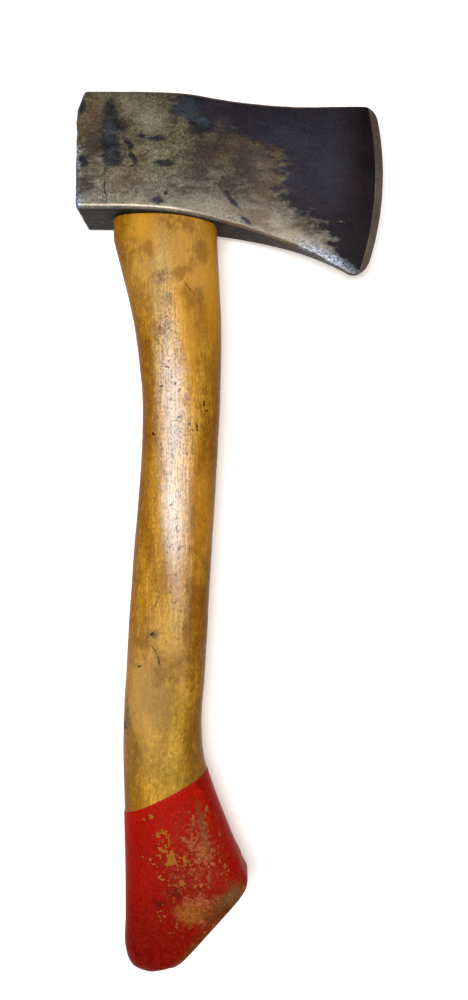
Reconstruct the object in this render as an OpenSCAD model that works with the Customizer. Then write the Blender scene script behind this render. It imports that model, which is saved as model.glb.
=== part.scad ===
// Hatchet: a forged head wedged onto a curved hardwood handle, lying on its side.
// +X points from the poll to the cutting edge, +Y up the handle to the top of the
// head, and +Z up from the surface that it lies on. The origin is the middle of the
// eye, on the flat side of the head that rests on that surface.

/* [Head] */
// Steel between the poll's striking face and the eye
poll_wall = 15.5; // [11:0.1:22]
// Height of the poll, along the handle
poll_h = 47; // [42:0.5:56]
// Thickness of the head at the poll and the eye
head_t = 26; // [24:0.5:30]
// From the front of the eye to the middle of the cutting edge
blade_l = 70.5; // [60:0.1:90]
// How far the heel of the blade hangs below the poll
heel_drop = 26; // [10:0.1:32]
// How far the toe of the blade lies below the poll's top
toe_drop = 0.5; // [-4:0.1:4]
// Depth of the long hollow in the top edge
top_dip = 1.6; // [0:0.1:5]
// Radius of the cutting edge, seen from the side
edge_r = 118; // [90:1:300]
// Height of the cutting edge's foremost point, above the middle of the eye
edge_apex = -5; // [-12:0.5:6]
// Rounding of the toe
toe_r = 5; // [3:0.5:8]
// Rounding of the heel
heel_r = 9; // [3:0.5:10]
// Width of the ground bevel
bevel_w = 3.4; // [2:0.1:6]
// Thickness of the blade where the bevel starts
bevel_t = 2.4; // [1.8:0.1:4]
// Thickness left at the cutting edge
edge_t = 0.5; // [0.3:0.05:1]
// Hollowness of the cheeks: 1 is straight from the eye to the bevel
hollow = 1.5; // [1:0.05:1.8]
// Extra thickness along the middle of the blade
crown = 0.6; // [0:0.1:1.2]
// Rounding of the forged edges
forged_r = 1.8; // [1:0.1:3]

/* [Eye] */
// Length of the eye, poll to blade, on the handle's side
eye_l = 38.6; // [34:0.1:42]
// Width of the eye on the handle's side
eye_w = 16.6; // [15:0.1:18]
// How much longer and wider the eye is at the top of the head
eye_flare = 1.2; // [0:0.1:2]
// Squareness of the eye: 2 is an ellipse, and more is squarer
eye_square = 2.6; // [2.2:0.1:4]

/* [Handle] */
// Length below the head, along Y
handle_l = 306; // [290:0.5:380]
// How far the neck is wider than the eye, on each side
shoulder_w = 2; // [1:0.1:4]
// How far the neck is thicker than the eye, on each side
shoulder_t = 1.6; // [0.8:0.1:3]
// Rounding of the neck's shoulder
shoulder_r = 1.3; // [0.5:0.1:2]
// Length of the straight neck
neck_l = 9; // [4:0.5:14]
// Width of the throat, the slimmest part
throat_w = 31.8; // [26:0.1:38]
// Thickness of the throat
throat_t = 21.4; // [17:0.1:25]
// How far the throat lies forward of the eye
throat_x = 6.4; // [0:0.1:10]
// Distance of the throat below the head
throat_at = 82; // [66:1:100]
// Width of the grip
grip_w = 32.6; // [27:0.1:38]
// Thickness of the grip
grip_t = 22.8; // [18:0.1:25]
// How far the grip lies behind the eye
grip_x = 0.4; // [-6:0.1:8]
// Distance of the grip's middle above the end
grip_at = 115; // [108:1:128]

/* [Foot] */
// How far the back of the foot lies behind the eye
heel_x = 15.9; // [12:0.1:22]
// How far the foot's tip reaches forward of the eye
tip_x = 33.8; // [26:0.1:40]
// Height of the foot's tip above the end
tip_h = 34.8; // [30:0.1:42]
// Thickness of the foot
foot_t = 25.3; // [20:0.1:28]
// Width of the sole, from the heel's rounding to the slanting cut
sole_w = 11.4; // [8:0.1:16]
// Rounding of the foot's heel, seen from the side
foot_r = 9; // [6:0.5:11]
// Rounding round the slanting cut
cut_r = 1.6; // [1:0.1:2]

/* [Paint] */
// Height of the paint line above the end, at the back
paint_back = 63; // [56:0.5:76]
// Height of the paint line above the end, at the front
paint_front = 79.5; // [70:0.5:92]
// Thickness of the dipped coat
coat_t = 0.3; // [0.2:0.05:0.6]

/* [Wedges] */
// Depth of the wooden wedge in the handle's kerf
wood_wedge_d = 31; // [28:0.5:36]
// Thickness of the wooden wedge at its top
wood_wedge_t = 5; // [3:0.1:6]
// Thickness of the wooden wedge at its tip
wood_wedge_tip = 1.4; // [1:0.1:2]
// Space between the wooden wedge and each end of the eye
wood_wedge_inset = 1.4; // [1:0.1:3]
// Saw cut left below the wooden wedge
kerf_below = 4; // [2:0.5:6]
// Width of each steel wedge, across the eye
steel_wedge_w = 12; // [8:0.1:12.4]
// Depth of each steel wedge
steel_wedge_d = 24; // [16:0.5:26]
// Thickness of each steel wedge at its top
steel_wedge_t = 3.2; // [2.4:0.1:4]
// Thickness of each steel wedge at its tip
steel_wedge_tip = 0.8; // [0.6:0.1:1.2]
// Distance between the middles of the two steel wedges
steel_wedge_gap = 15; // [10:0.5:18]
// Depth of each barb cut into a steel wedge
barb = 0.3; // [0.1:0.05:0.4]
// Number of barbs on each side of a steel wedge
barb_count = 4; // [2:1:6]

/* [Fits] */
// How far the sawn end of the handle stands out of the eye
proud = 0.6; // [0.2:0.1:2]
// Gap between wood and steel in the eye
eye_fit = 0.1; // [0.05:0.01:0.2]
// Gap between the head's underside and the handle's shoulder
shoulder_fit = 0.15; // [0.1:0.01:0.3]
// Gap round each wedge
wedge_fit = 0.05; // [0.02:0.01:0.1]
// Gap between the wood and the paint
coat_fit = 0.03; // [0.02:0.01:0.06]

/* [Hidden] */

steel = [0.33, 0.31, 0.29];
wood = [0.78, 0.55, 0.22];
pale_wood = [0.80, 0.68, 0.47];
red_paint = [0.75, 0.10, 0.06];
bright_steel = [0.62, 0.62, 0.61];

ring_n = 36;              // points round the handle
face_n = 8;               // steps up each side of the head
corner_n = 3;             // steps round each rounded edge
cheek_n = 11;             // steps along the cheeks
blade_n = 3;              // steps from the cheeks to the bevel
bevel_n = 4;              // steps across the bevel
span_n = 4;               // steps from one handle station to the next
clear_cut = 6;            // how far a cutter runs past what it cuts
grip_square = 2.3;        // squareness of the grip's section
foot_square = 2.7;        // squareness of the foot's section
neck_square = 3;          // squareness of the neck's section
forged_share = 0.45;      // most of the half thickness that a forged edge rounds away
shoulder_share = 0.8;     // most of the shoulder's step that its rounding takes
sweep_power = 1.5;        // how late the head's sections start to bend
crown_power = 4;          // flatness of the crown across the cheek

// Stations of the handle that lie between the sized ones
hip_at = 0.55;            // share of the way from the head to the throat
hip_back = 0.3;           // share of the neck's width that lies behind the eye's middle
hip_front = 0.54;         // share of the neck's width that lies in front of it
hip_thinning = 0.6;       // share of the way from the neck's thickness to the throat's
flare_back_at = 1.5;      // height at the back, as a share of the paint line's
flare_front_at = 1.22;    // height at the front, as a share of the paint line's
flare_bulge = 1.6;        // how far its back stands out behind the foot's
flare_reach = 0.44;       // share of the foot tip's reach
flare_thickening = 0.1;   // share of the way from the grip's thickness to the foot's
paint_bulge = 0.9;        // how far the back stands out there
paint_reach = 0.5;        // share of the foot tip's reach
paint_thickening = 0.4;   // share of the way from the grip's thickness to the foot's
calf_back_at = 0.6;       // height at the back, as a share of the paint line's
calf_above_tip = 17;      // height at the front, above the foot's tip
calf_bulge = 0.2;         // how far its back stands out behind the foot's
calf_reach = 0.8;         // share of the foot tip's reach
calf_thickening = 0.8;    // share of the way from the grip's thickness to the foot's

x_poll = -eye_l / 2 - poll_wall;
x_edge = eye_l / 2 + blade_l;
x_bevel = x_edge - bevel_w;
x_hollow = -0.6 * eye_l / 2;         // where the top edge starts to dip
x_taper = 0.2 * eye_l;               // where the cheeks start to close in
taper_blend = 6;                     // half the length of the curve into that taper
x_under = -eye_l / 2;                // where the underside starts to curve down
y_top = poll_h / 2;
y_under = -poll_h / 2;
y_heel = y_under - heel_drop;
y_end = y_under - handle_l;
z_mid = head_t / 2;
x_heel = x_edge - edge_r + sqrt(pow(edge_r, 2) - pow(y_heel - edge_apex, 2));
under_r = (pow(x_heel - x_under, 2) + pow(heel_drop, 2)) / (2 * heel_drop);
neck_w = eye_l + 2 * shoulder_w;
neck_t = eye_w + 2 * shoulder_t;

// ---------- curves ----------

function clamp01(t) = max(0, min(1, t));
function blend(a, b, t) = a + (b - a) * t;
function signed_pow(a, p) = sign(a) * pow(abs(a), p);

// Depth lost to a rounded corner of radius r, at a distance d from its end
function corner_loss(r, d) = d >= r ? 0 : r - sqrt(max(0, r * r - (r - d) * (r - d)));

// Top edge of the head: level over the poll, then one long hollow to the toe
function top_y(x) =
    let (t = clamp01((x - x_hollow) / (x_edge - toe_r - x_hollow)))
    y_top - top_dip * pow(sin(180 * t), 2) - toe_drop * t;

// Underside of the head: level over the poll, then one arc down to the heel
function under_y(x) = y_under - under_r + sqrt(pow(under_r, 2) - pow(max(0, x - x_under), 2));

// Cutting edge's distance behind its foremost point, at the height y
function edge_sweep(y) = edge_r - sqrt(edge_r * edge_r - (y - edge_apex) * (y - edge_apex));

// How fully the head's sections follow the cutting edge's curve
function sweep_share(x) = pow(clamp01((x - x_taper) / (x_edge - x_taper)), sweep_power);

// Place along X of the section x, where it reaches the height y
function swept_x(x, y) = x - sweep_share(x) * edge_sweep(y);

// Half the head's thickness: parallel sides, then hollow cheeks, then a ground bevel
function cheek_z(x) =
    let (past = x - x_taper,
         closing = past < -taper_blend ? 0
                 : past < taper_blend ? pow(past + taper_blend, 2) / (4 * taper_blend)
                 : past)
    blend(bevel_t / 2, head_t / 2, pow(1 - closing / (x_bevel - x_taper), hollow));
function head_z(x) =
    x <= x_bevel ? cheek_z(x) : blend(edge_t / 2, bevel_t / 2, (x_edge - x) / bevel_w);

// ---------- solids from sections ----------

// Closed solid through rings of points. Point j of a ring faces point n - 1 - j.
module skin(rings) {
    n = len(rings[0]);
    last = (len(rings) - 1) * n;
    points = [for (ring = rings) each ring];
    sides = [for (i = [0:len(rings) - 2], j = [0:n - 1])
        let (a = i * n + j, b = i * n + (j + 1) % n)
        each [[a, b, b + n], [a, b + n, a + n]]];
    first_cap = [for (j = [0:n / 2 - 2])
        each [[j, n - 1 - j, n - 2 - j], [j, n - 2 - j, j + 1]]];
    last_cap = [for (j = [0:n / 2 - 2])
        each [[last + j, last + j + 1, last + n - 2 - j],
              [last + j, last + n - 2 - j, last + n - 1 - j]]];
    polyhedron(points, concat(first_cap, sides, last_cap), convexity = 8);
}

// Unit oval of a given squareness, as pairs [along, across]
function oval(square) = [for (j = [0:ring_n - 1])
    let (a = 180 - (j + 0.5) * 360 / ring_n)
    [signed_pow(cos(a), 2 / square), signed_pow(sin(a), 2 / square)]];

// ---------- head ----------

// One section of the head at x, pulled in by inset on all four sides
function head_ring(x, inset = 0) =
    let (toe_end = corner_loss(toe_r, x_edge - x),
         heel_end = corner_loss(heel_r, x_edge - x),
         hi = top_y(swept_x(x, y_top)) - toe_end - inset,
         lo = under_y(swept_x(x, y_heel)) + heel_end + inset,
         z = head_z(x) - inset,
         r = min(forged_r, forged_share * z),
         bulge = crown * sin(180 * clamp01((x - x_taper) / (x_bevel - x_taper))),
         side = concat(
             [for (k = [0:corner_n - 1]) let (a = 90 * k / corner_n)
                 [lo + r * (1 - cos(a)), z - r + r * sin(a)]],
             [for (k = [0:face_n]) let (y = blend(lo + r, hi - r, k / face_n), v = 2 * k / face_n - 1)
                 [y, z + bulge * (1 - pow(v, crown_power))]],
             [for (k = [corner_n - 1:-1:0]) let (a = 90 * k / corner_n)
                 [hi - r * (1 - cos(a)), z - r + r * sin(a)]]))
    concat([for (p = side) [swept_x(x, p[0]), p[0], z_mid + p[1]]],
           [for (k = [len(side) - 1:-1:0]) let (p = side[k]) [swept_x(x, p[0]), p[0], z_mid - p[1]]]);

function head_rings() =
    let (cheek_start = x_taper - taper_blend,
         x_corner = x_edge - max(toe_r, heel_r, bevel_w + 1))
    concat([for (k = [0:corner_n]) let (a = 90 * k / corner_n)
               head_ring(x_poll + forged_r * (1 - cos(a)), forged_r * (1 - sin(a)))],
           [for (x = concat([x_hollow],
                            [for (k = [0:cheek_n]) blend(cheek_start, x_corner, k / cheek_n)],
                            [for (k = [1:blade_n]) blend(x_corner, x_bevel, k / blade_n)],
                            [for (k = [1:bevel_n]) x_bevel + bevel_w * sin(90 * k / bevel_n)]))
               head_ring(x)]);

// Point of the eye's wall at the height y, drawn in by gap
function eye_point(unit, y, gap) =
    let (wider = eye_flare / 2 * (y - y_under) / poll_h)
    [unit[0] * (eye_l / 2 + wider - gap), y, z_mid + unit[1] * (eye_w / 2 + wider - gap)];
function eye_ring(y, gap = 0) = [for (unit = oval(eye_square)) eye_point(unit, y, gap)];

module head() {
    color(steel) difference() {
        skin(head_rings());
        skin([eye_ring(y_top + clear_cut), eye_ring(y_under - clear_cut)]);
    }
}

// ---------- handle ----------

// A station is [back point, front point, thickness, squareness]
function level_station(x, w, y, t, square) = [[x - w / 2, y], [x + w / 2, y], t, square];

neck_top = level_station(0, neck_w, y_under - shoulder_fit, neck_t, neck_square);
neck_low = level_station(0, neck_w, y_under - neck_l, neck_t, neck_square);
hip_y = y_under - hip_at * throat_at;
hip = [[-hip_back * neck_w, hip_y], [hip_front * neck_w, hip_y],
       blend(neck_t, throat_t, hip_thinning), grip_square];
throat = level_station(throat_x, throat_w, y_under - throat_at, throat_t, grip_square);
grip = level_station(-grip_x, grip_w, y_end + grip_at, grip_t, grip_square);
flare = [[-heel_x - flare_bulge, y_end + flare_back_at * paint_back],
         [flare_reach * tip_x, y_end + flare_front_at * paint_front],
         blend(grip_t, foot_t, flare_thickening), grip_square];
paint_line = [[-heel_x - paint_bulge, y_end + paint_back],
              [paint_reach * tip_x, y_end + paint_front],
              blend(grip_t, foot_t, paint_thickening), grip_square];
calf = [[-heel_x - calf_bulge, y_end + calf_back_at * paint_back],
        [calf_reach * tip_x, y_end + tip_h + calf_above_tip],
        blend(grip_t, foot_t, calf_thickening), foot_square];

// Outline of the foot: down its back, round the heel and along the sole, and, point for
// point, down its front to the tip, so that the sections fan round. The rounding of the
// slanting cut begins at the last but one, and the last one is the cut itself
foot_back = [
    [-heel_x, y_end + 2.3 * foot_r],                     // straight back
    [-heel_x, y_end + 1.1 * foot_r],                     // where the heel starts to round
    [-heel_x + 0.3 * foot_r, y_end + 0.3 * foot_r],      // middle of the heel's rounding
    [-heel_x + foot_r, y_end],                           // lowest point of the sole
    [-heel_x + foot_r + 0.42 * sole_w, y_end + 0.5],     // along the sole
    [-heel_x + foot_r + 0.76 * sole_w, y_end + 1.6],
    [-heel_x + foot_r + sole_w, y_end + 2.4]             // lower corner of the cut
];
foot_front = [
    [tip_x - 3.2, y_end + tip_h + 9],        // front, as it swings out to the tip
    [tip_x - 2.4, y_end + tip_h + 6.3],
    [tip_x - 1.55, y_end + tip_h + 4.6],
    [tip_x - 1.05, y_end + tip_h + 3.5],
    [tip_x - 0.7, y_end + tip_h + 2.7],
    [tip_x - 0.4, y_end + tip_h + 2],
    [tip_x, y_end + tip_h]                   // tip, the upper corner of the cut
];
foot_thinning = [1, 0.99, 0.97, 0.96, 0.96, 0.95, 0.95];    // share of the thickness there
foot_squareness = [2.8, 3.1, 3.5, 4.1, 4.8, 5.4, 5.6];      // fuller and fuller to the cut

// Down the handle: neck, throat, grip, and the foot that fans round to its slanting cut
stations = concat(
    [neck_low, hip, throat, blend(throat, grip, 0.5), grip, flare, paint_line, calf],
    [for (i = [0:len(foot_back) - 1])
        [foot_back[i], foot_front[i], foot_t * foot_thinning[i], foot_squareness[i]]]);
paint_index = 6;

// Distance down the handle to each station, along the middles
function middle(s) = (s[0] + s[1]) / 2;
station_at = [for (i = 0, d = 0; i < len(stations); i = i + 1,
    d = i < len(stations) ? d + norm(middle(stations[i]) - middle(stations[i - 1])) : d) d];

// Rate at which the stations change at station i
function station_rate(i) =
    let (a = max(0, i - 1), b = min(len(stations) - 1, i + 1))
    (stations[b] - stations[a]) / (station_at[b] - station_at[a]);

// Station part of the way, 0 to 1, from station i to the next, on a smooth curve
function between(i, t) =
    let (run = station_at[i + 1] - station_at[i])
    stations[i] * (1 + 2 * t) * (1 - t) * (1 - t)
    + stations[i + 1] * t * t * (3 - 2 * t)
    + station_rate(i) * run * t * (1 - t) * (1 - t)
    - station_rate(i + 1) * run * t * t * (1 - t);

// Ring of points round a station, grown outward, and moved down the handle by shift
function station_ring(s, grow = 0, shift = 0) =
    let (along = (s[1] - s[0]) / norm(s[1] - s[0]),
         down = [along[1], -along[0]],
         half = norm(s[1] - s[0]) / 2 + grow,
         deep = s[2] / 2 + grow)
    [for (unit = oval(s[3]))
        let (p = middle(s) + along * unit[0] * half + down * shift)
        [p[0], p[1], z_mid + unit[1] * deep]];

// Rings of the handle's surface from station first to the slanting cut, grown outward
function handle_rings(first, grow) =
    let (cut = len(stations) - 1)
    concat([for (i = [first:cut - 2], k = [0:span_n - 1])
               station_ring(between(i, k / span_n), grow)],
           [for (k = [0:corner_n]) let (a = 90 * k / corner_n)
               station_ring(blend(stations[cut - 1], stations[cut], sin(a)),
                            grow - (cut_r + grow) * (1 - cos(a)), grow * sin(a))]);

module handle() {
    tongue = [eye_ring(y_top + proud, eye_fit), eye_ring(y_under - shoulder_fit, eye_fit)];
    round_r = min(shoulder_r, shoulder_share * min(shoulder_w, shoulder_t));
    shoulder = [for (k = [0:corner_n]) let (a = 90 * k / corner_n)
        station_ring(neck_top, round_r * (sin(a) - 1), round_r * (1 - cos(a)))];
    color(wood) difference() {
        skin(concat(tongue, shoulder, handle_rings(0, 0)));
        wooden_wedge_blank(neck_w, wedge_fit, clear_cut);
        kerf();
        steel_wedge_slots();
    }
}

// Saw cut that the wooden wedge is driven into
module kerf() {
    translate([-neck_w / 2, y_top + proud - wood_wedge_d - kerf_below, z_mid - wood_wedge_tip / 2])
        cube([neck_w, wood_wedge_d + kerf_below, wood_wedge_tip]);
}

// Dipped coat over the foot: up the inside, round the rim and down the outside
module paint_coat() {
    inner = handle_rings(paint_index, coat_fit);
    outer = handle_rings(paint_index, coat_fit + coat_t);
    color(red_paint) skin(concat([for (i = [len(inner) - 1:-1:0]) inner[i]], outer));
}

// ---------- wedges ----------

// Tapered outline, point down, grown by gap, that runs on above its top at y = 0
function taper(top, tip, depth, gap, above) =
    let (spread = (top - tip) / 2 * above / depth)
    [[-tip / 2 - gap, -depth - gap], [tip / 2 + gap, -depth - gap],
     [top / 2 + spread + gap, above], [-top / 2 - spread - gap, above]];

module wooden_wedge_blank(length, gap, above) {
    outline = taper(wood_wedge_t, wood_wedge_tip, wood_wedge_d, gap, above);
    translate([length / 2, y_top + proud, z_mid]) rotate([0, -90, 0])
        linear_extrude(length) polygon(outline);
}

module wooden_wedge() {
    color(pale_wood) difference() {
        wooden_wedge_blank(eye_l + eye_flare - 2 * wood_wedge_inset, 0, 0);
        steel_wedge_slots();
    }
}

// Outline of a steel wedge: its faces taper to the tip in saw-toothed steps
function steel_wedge_side() = concat([[steel_wedge_t / 2, 0]],
    [for (k = [1:barb_count])
        let (d = k / (barb_count + 1), half = blend(steel_wedge_t, steel_wedge_tip, d) / 2)
        each [[half, -d * steel_wedge_d], [half - min(barb, half / 2), -d * steel_wedge_d]]],
    [[steel_wedge_tip / 2, -steel_wedge_d]]);

module at_steel_wedge(side, width) {
    translate([side * steel_wedge_gap / 2, y_top + proud, z_mid - width / 2]) children();
}

module steel_wedge(side) {
    edge = steel_wedge_side();
    color(bright_steel) at_steel_wedge(side, steel_wedge_w) linear_extrude(steel_wedge_w)
        polygon(concat(edge, [for (k = [len(edge) - 1:-1:0]) [-edge[k][0], edge[k][1]]]));
}

module steel_wedge_slots() {
    width = steel_wedge_w + 2 * wedge_fit;
    for (side = [-1, 1]) at_steel_wedge(side, width) linear_extrude(width)
        polygon(taper(steel_wedge_t, steel_wedge_tip, steel_wedge_d, wedge_fit, clear_cut));
}

module steel_wedge_rear() { steel_wedge(-1); }
module steel_wedge_front() { steel_wedge(1); }

head();
handle();
paint_coat();
wooden_wedge();
steel_wedge_rear();
steel_wedge_front();
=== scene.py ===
# %% [markdown]
# # An old hatchet, lying on its side
# The CAD part gives the exact solids: a forged head, a hardwood handle, a dipped coat
# of red enamel, one wooden wedge and two steel wedges. This file dresses them. Every
# piece is built again with a finer surface, at the same sizes and in the same place,
# and gets a finish made from nodes. All sizes are in millimetres until they are stored.

# %% Load the fixed frame
import math

import bmesh
import bpy
import numpy as np
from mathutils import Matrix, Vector, noise


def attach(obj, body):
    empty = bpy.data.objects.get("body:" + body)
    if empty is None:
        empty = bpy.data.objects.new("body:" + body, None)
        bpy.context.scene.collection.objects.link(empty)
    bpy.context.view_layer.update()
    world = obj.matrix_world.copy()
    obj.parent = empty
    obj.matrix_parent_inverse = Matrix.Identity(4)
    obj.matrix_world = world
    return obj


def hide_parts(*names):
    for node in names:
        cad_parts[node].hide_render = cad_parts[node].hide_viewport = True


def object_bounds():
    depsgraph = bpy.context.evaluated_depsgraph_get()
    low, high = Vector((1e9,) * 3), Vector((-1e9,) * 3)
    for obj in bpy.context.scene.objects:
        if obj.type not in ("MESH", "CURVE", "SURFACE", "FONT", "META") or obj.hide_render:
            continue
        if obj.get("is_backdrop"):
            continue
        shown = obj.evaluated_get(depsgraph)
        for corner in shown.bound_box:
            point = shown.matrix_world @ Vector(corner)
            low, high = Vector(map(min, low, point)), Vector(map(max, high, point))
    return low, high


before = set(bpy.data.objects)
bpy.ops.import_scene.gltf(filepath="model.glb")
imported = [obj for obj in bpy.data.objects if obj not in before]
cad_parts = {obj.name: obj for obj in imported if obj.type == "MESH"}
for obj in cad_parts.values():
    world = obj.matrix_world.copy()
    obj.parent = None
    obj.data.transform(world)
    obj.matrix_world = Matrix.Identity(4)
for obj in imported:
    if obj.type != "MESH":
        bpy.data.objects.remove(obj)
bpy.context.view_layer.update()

MM = 0.001

# %% [markdown]
# ## Two small helpers
# Hex colours are how a screen shows them, in sRGB, but shaders add up light, so each
# colour is turned to linear once, here. The second helper adds any node to any tree
# and sets or links its inputs, so that a whole finish reads as a short recipe.


# %% Colour and node helpers
def linear(hex_colour):
    """An sRGB hex colour as the linear RGBA that a shader works in."""
    parts = [int(hex_colour[i:i + 2], 16) / 255 for i in (0, 2, 4)]
    return [c / 12.92 if c <= 0.04045 else ((c + 0.055) / 1.055) ** 2.4 for c in parts] + [1]


def add(tree, kind, inputs=None, **settings):
    """Adds a node, sets it, fills or links its inputs, and returns its first live output."""
    made = tree.nodes.new(kind)
    for name, value in settings.items():
        setattr(made, name, value)
    for key, value in (inputs or {}).items():
        live = [s for s in made.inputs if s.enabled]
        socket = live[key] if isinstance(key, int) else next(s for s in live if s.name == key)
        if isinstance(value, bpy.types.NodeSocket):
            tree.links.new(value, socket)
        else:
            socket.default_value = value
    return next((s for s in made.outputs if s.enabled), made)


print("linear mid grey:", round(linear("808080")[0], 3))

# %% [markdown]
# ## Camera
# It looks straight down from about a third of a metre, from a point beside the grip,
# so the near end of the handle and the underside of the head show a little of their
# sides. A short distance needs a wide lens, which is what a phone has.

# %% Camera
camera_at = (28.2, -139.2, 326)
lens_mm = 27.25
camera_data = bpy.data.cameras.new("camera")
camera_data.lens = lens_mm
camera_data.clip_start = 0.01
camera = bpy.data.objects.new("camera", camera_data)
camera.location = [v * MM for v in camera_at]
bpy.context.scene.collection.objects.link(camera)
bpy.context.scene.camera = camera
bpy.context.scene.view_settings.view_transform = "Standard"
print("camera at", camera_at, "mm")

# %% [markdown]
# ## Light and floor
# Two large soft lamps hang about a metre up, as ceiling lights over a table: the main
# one a little behind the handle's line, which draws the long highlight down the grip,
# and a weaker one on the blade's side, which the hollow cheek catches. A pale world
# fills the rest. Power is set so that a matt colour renders about as it is written.
# The floor is white cloth, and to the camera it glows a little more, so that it
# stays white beyond the soft shadow.

# %% Lamps, world and floor
LAMPS = {  # name: place in mm, size in mm, power in watts
    "ceiling_lamp": ((-190, -180, 1000), (200, 540), 8.0),
    "blade_side_lamp": ((420, 80, 1000), (200, 380), 1.8),
}
LAMPS_AIM_Y = -120  # the middle of the tool, along Y in mm
for name, (place, size, power) in LAMPS.items():
    lamp_data = bpy.data.lights.new(name, "AREA")
    lamp_data.shape = "RECTANGLE"
    lamp_data.size, lamp_data.size_y = [v * MM for v in size]
    lamp_data.energy = power
    lamp = bpy.data.objects.new(name, lamp_data)
    lamp.location = [v * MM for v in place]
    aim = Vector((0, LAMPS_AIM_Y * MM, 0)) - lamp.location
    lamp.rotation_euler = aim.to_track_quat("-Z", "Y").to_euler()
    bpy.context.scene.collection.objects.link(lamp)

world = bpy.data.worlds.new("pale_room")
world.use_nodes = True
bpy.context.scene.world = world
room = world.node_tree
room.nodes.clear()
rays = add(room, "ShaderNodeLightPath").node.outputs
seen = rays["Is Camera Ray"]
for kind in ("Is Glossy Ray", "Is Transmission Ray"):
    seen = add(room, "ShaderNodeMath", {0: seen, 1: rays[kind]}, operation="MAXIMUM")
height = add(room, "ShaderNodeTexCoord").node.outputs["Generated"]
height = add(room, "ShaderNodeSeparateXYZ", {0: height}).node.outputs["Z"]
ceiling = add(room, "ShaderNodeMapRange", {"Value": height, "From Min": 0.05, "From Max": 0.4,
                                           "To Min": 1.0, "To Max": 0.2})
ceiling = add(room, "ShaderNodeMath", {0: ceiling, 1: rays["Is Camera Ray"]},
              operation="MAXIMUM")
dim = add(room, "ShaderNodeBackground", {"Color": linear("f4f6fa"), "Strength": 0.16})
white = add(room, "ShaderNodeBackground", {"Color": (1, 1, 1, 1), "Strength": ceiling})
both = add(room, "ShaderNodeMixShader", {0: seen, 1: dim, 2: white})
add(room, "ShaderNodeOutputWorld", {"Surface": both})

floor_half = 1500 * MM
floor_mesh = bpy.data.meshes.new("floor")
floor_mesh.from_pydata([(-floor_half, -floor_half, 0), (floor_half, -floor_half, 0),
                        (floor_half, floor_half, 0), (-floor_half, floor_half, 0)],
                       [], [(0, 1, 2, 3)])
floor = bpy.data.objects.new("floor", floor_mesh)
bpy.context.scene.collection.objects.link(floor)
cloth = bpy.data.materials.new("WhiteCloth")
cloth.use_nodes = True
tree = cloth.node_tree
tree.nodes.clear()
rays = add(tree, "ShaderNodeLightPath").node.outputs
spot = add(tree, "ShaderNodeTexCoord").node.outputs["Object"]
far = add(tree, "ShaderNodeVectorMath", {0: spot}, operation="LENGTH").node.outputs["Value"]
glow = add(tree, "ShaderNodeMapRange", {"Value": far, "From Min": 350 * MM,
                                        "From Max": 1100 * MM, "To Min": 0.45,
                                        "To Max": 1.0})
seen = add(tree, "ShaderNodeMath", {0: rays["Is Camera Ray"], 1: rays["Is Glossy Ray"]},
           operation="MAXIMUM")
glow = add(tree, "ShaderNodeMath", {0: seen, 1: glow}, operation="MULTIPLY")
plain = add(tree, "ShaderNodeBsdfDiffuse", {"Color": linear("f3f1ee")})
lift = add(tree, "ShaderNodeEmission", {"Color": linear("fff4ec"), "Strength": glow})
lit = add(tree, "ShaderNodeAddShader", {0: plain, 1: lift})
add(tree, "ShaderNodeOutputMaterial", {"Surface": lit})
floor_mesh.materials.append(cloth)
floor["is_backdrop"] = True
print("lamps:", ", ".join(LAMPS))

# %% [markdown]
# ## Sizes that the pieces share
# They are the CAD part's own, so that the finer surfaces fall where its solids are.

# %% Sizes in millimetres
poll_wall, poll_h, head_t = 15.5, 47, 26
blade_l, heel_drop, toe_drop, top_dip = 70.5, 26, 0.5, 1.6
edge_r, edge_apex, toe_r, heel_r = 118, -5, 5, 9
bevel_w, bevel_t, edge_t = 3.4, 2.4, 0.5
hollow, crown, forged_r = 1.5, 0.6, 1.8
eye_l, eye_w, eye_flare, eye_square = 38.6, 16.6, 1.2, 2.6
handle_l, shoulder_w, shoulder_t, shoulder_r, neck_l = 306, 2, 1.6, 1.3, 9
throat_w, throat_t, throat_x, throat_at = 31.8, 21.4, 6.4, 82
grip_w, grip_t, grip_x, grip_at = 32.6, 22.8, 0.4, 115
heel_x, tip_x, tip_h, foot_t, sole_w, foot_r, cut_r = 15.9, 33.8, 34.8, 25.3, 11.4, 9, 1.6
paint_back, paint_front, coat_t = 63, 79.5, 0.3
wood_wedge_d, wood_wedge_t, wood_wedge_tip, wood_wedge_inset = 31, 5, 1.4, 1.4
kerf_below = 4
steel_wedge_w, steel_wedge_d, steel_wedge_t, steel_wedge_tip = 12, 24, 3.2, 0.8
steel_wedge_gap, barb, barb_count = 15, 0.3, 4
proud, eye_fit, shoulder_fit, wedge_fit, coat_fit = 0.6, 0.1, 0.15, 0.05, 0.03
grip_square, foot_square, neck_square = 2.3, 2.7, 3
slot_square, wood_wedge_square, steel_wedge_square = 30, 16, 9  # nearly true rectangles

x_poll, x_edge = -eye_l / 2 - poll_wall, eye_l / 2 + blade_l
x_bevel, x_hollow, x_taper = x_edge - bevel_w, -0.6 * eye_l / 2, 0.2 * eye_l
x_under, taper_blend = -eye_l / 2, 6
y_top, y_under = poll_h / 2, -poll_h / 2
y_heel, y_end, z_mid = y_under - heel_drop, y_under - handle_l, head_t / 2
x_heel = x_edge - edge_r + math.sqrt(edge_r ** 2 - (y_heel - edge_apex) ** 2)
under_r = ((x_heel - x_under) ** 2 + heel_drop ** 2) / (2 * heel_drop)
neck_w, neck_t = eye_l + 2 * shoulder_w, eye_w + 2 * shoulder_t
print("head from", round(x_poll, 1), "to", round(x_edge, 1), "and handle down to", y_end)

# %% [markdown]
# ## Making and finishing meshes
# Every piece goes the same way: points and faces become an object, modifiers shape it,
# and then the evaluated result replaces its mesh, so nothing is left live. Booleans cut
# the eye and the wedge slots as a drift and a saw would, and smooth shading stops at
# real edges.


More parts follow.
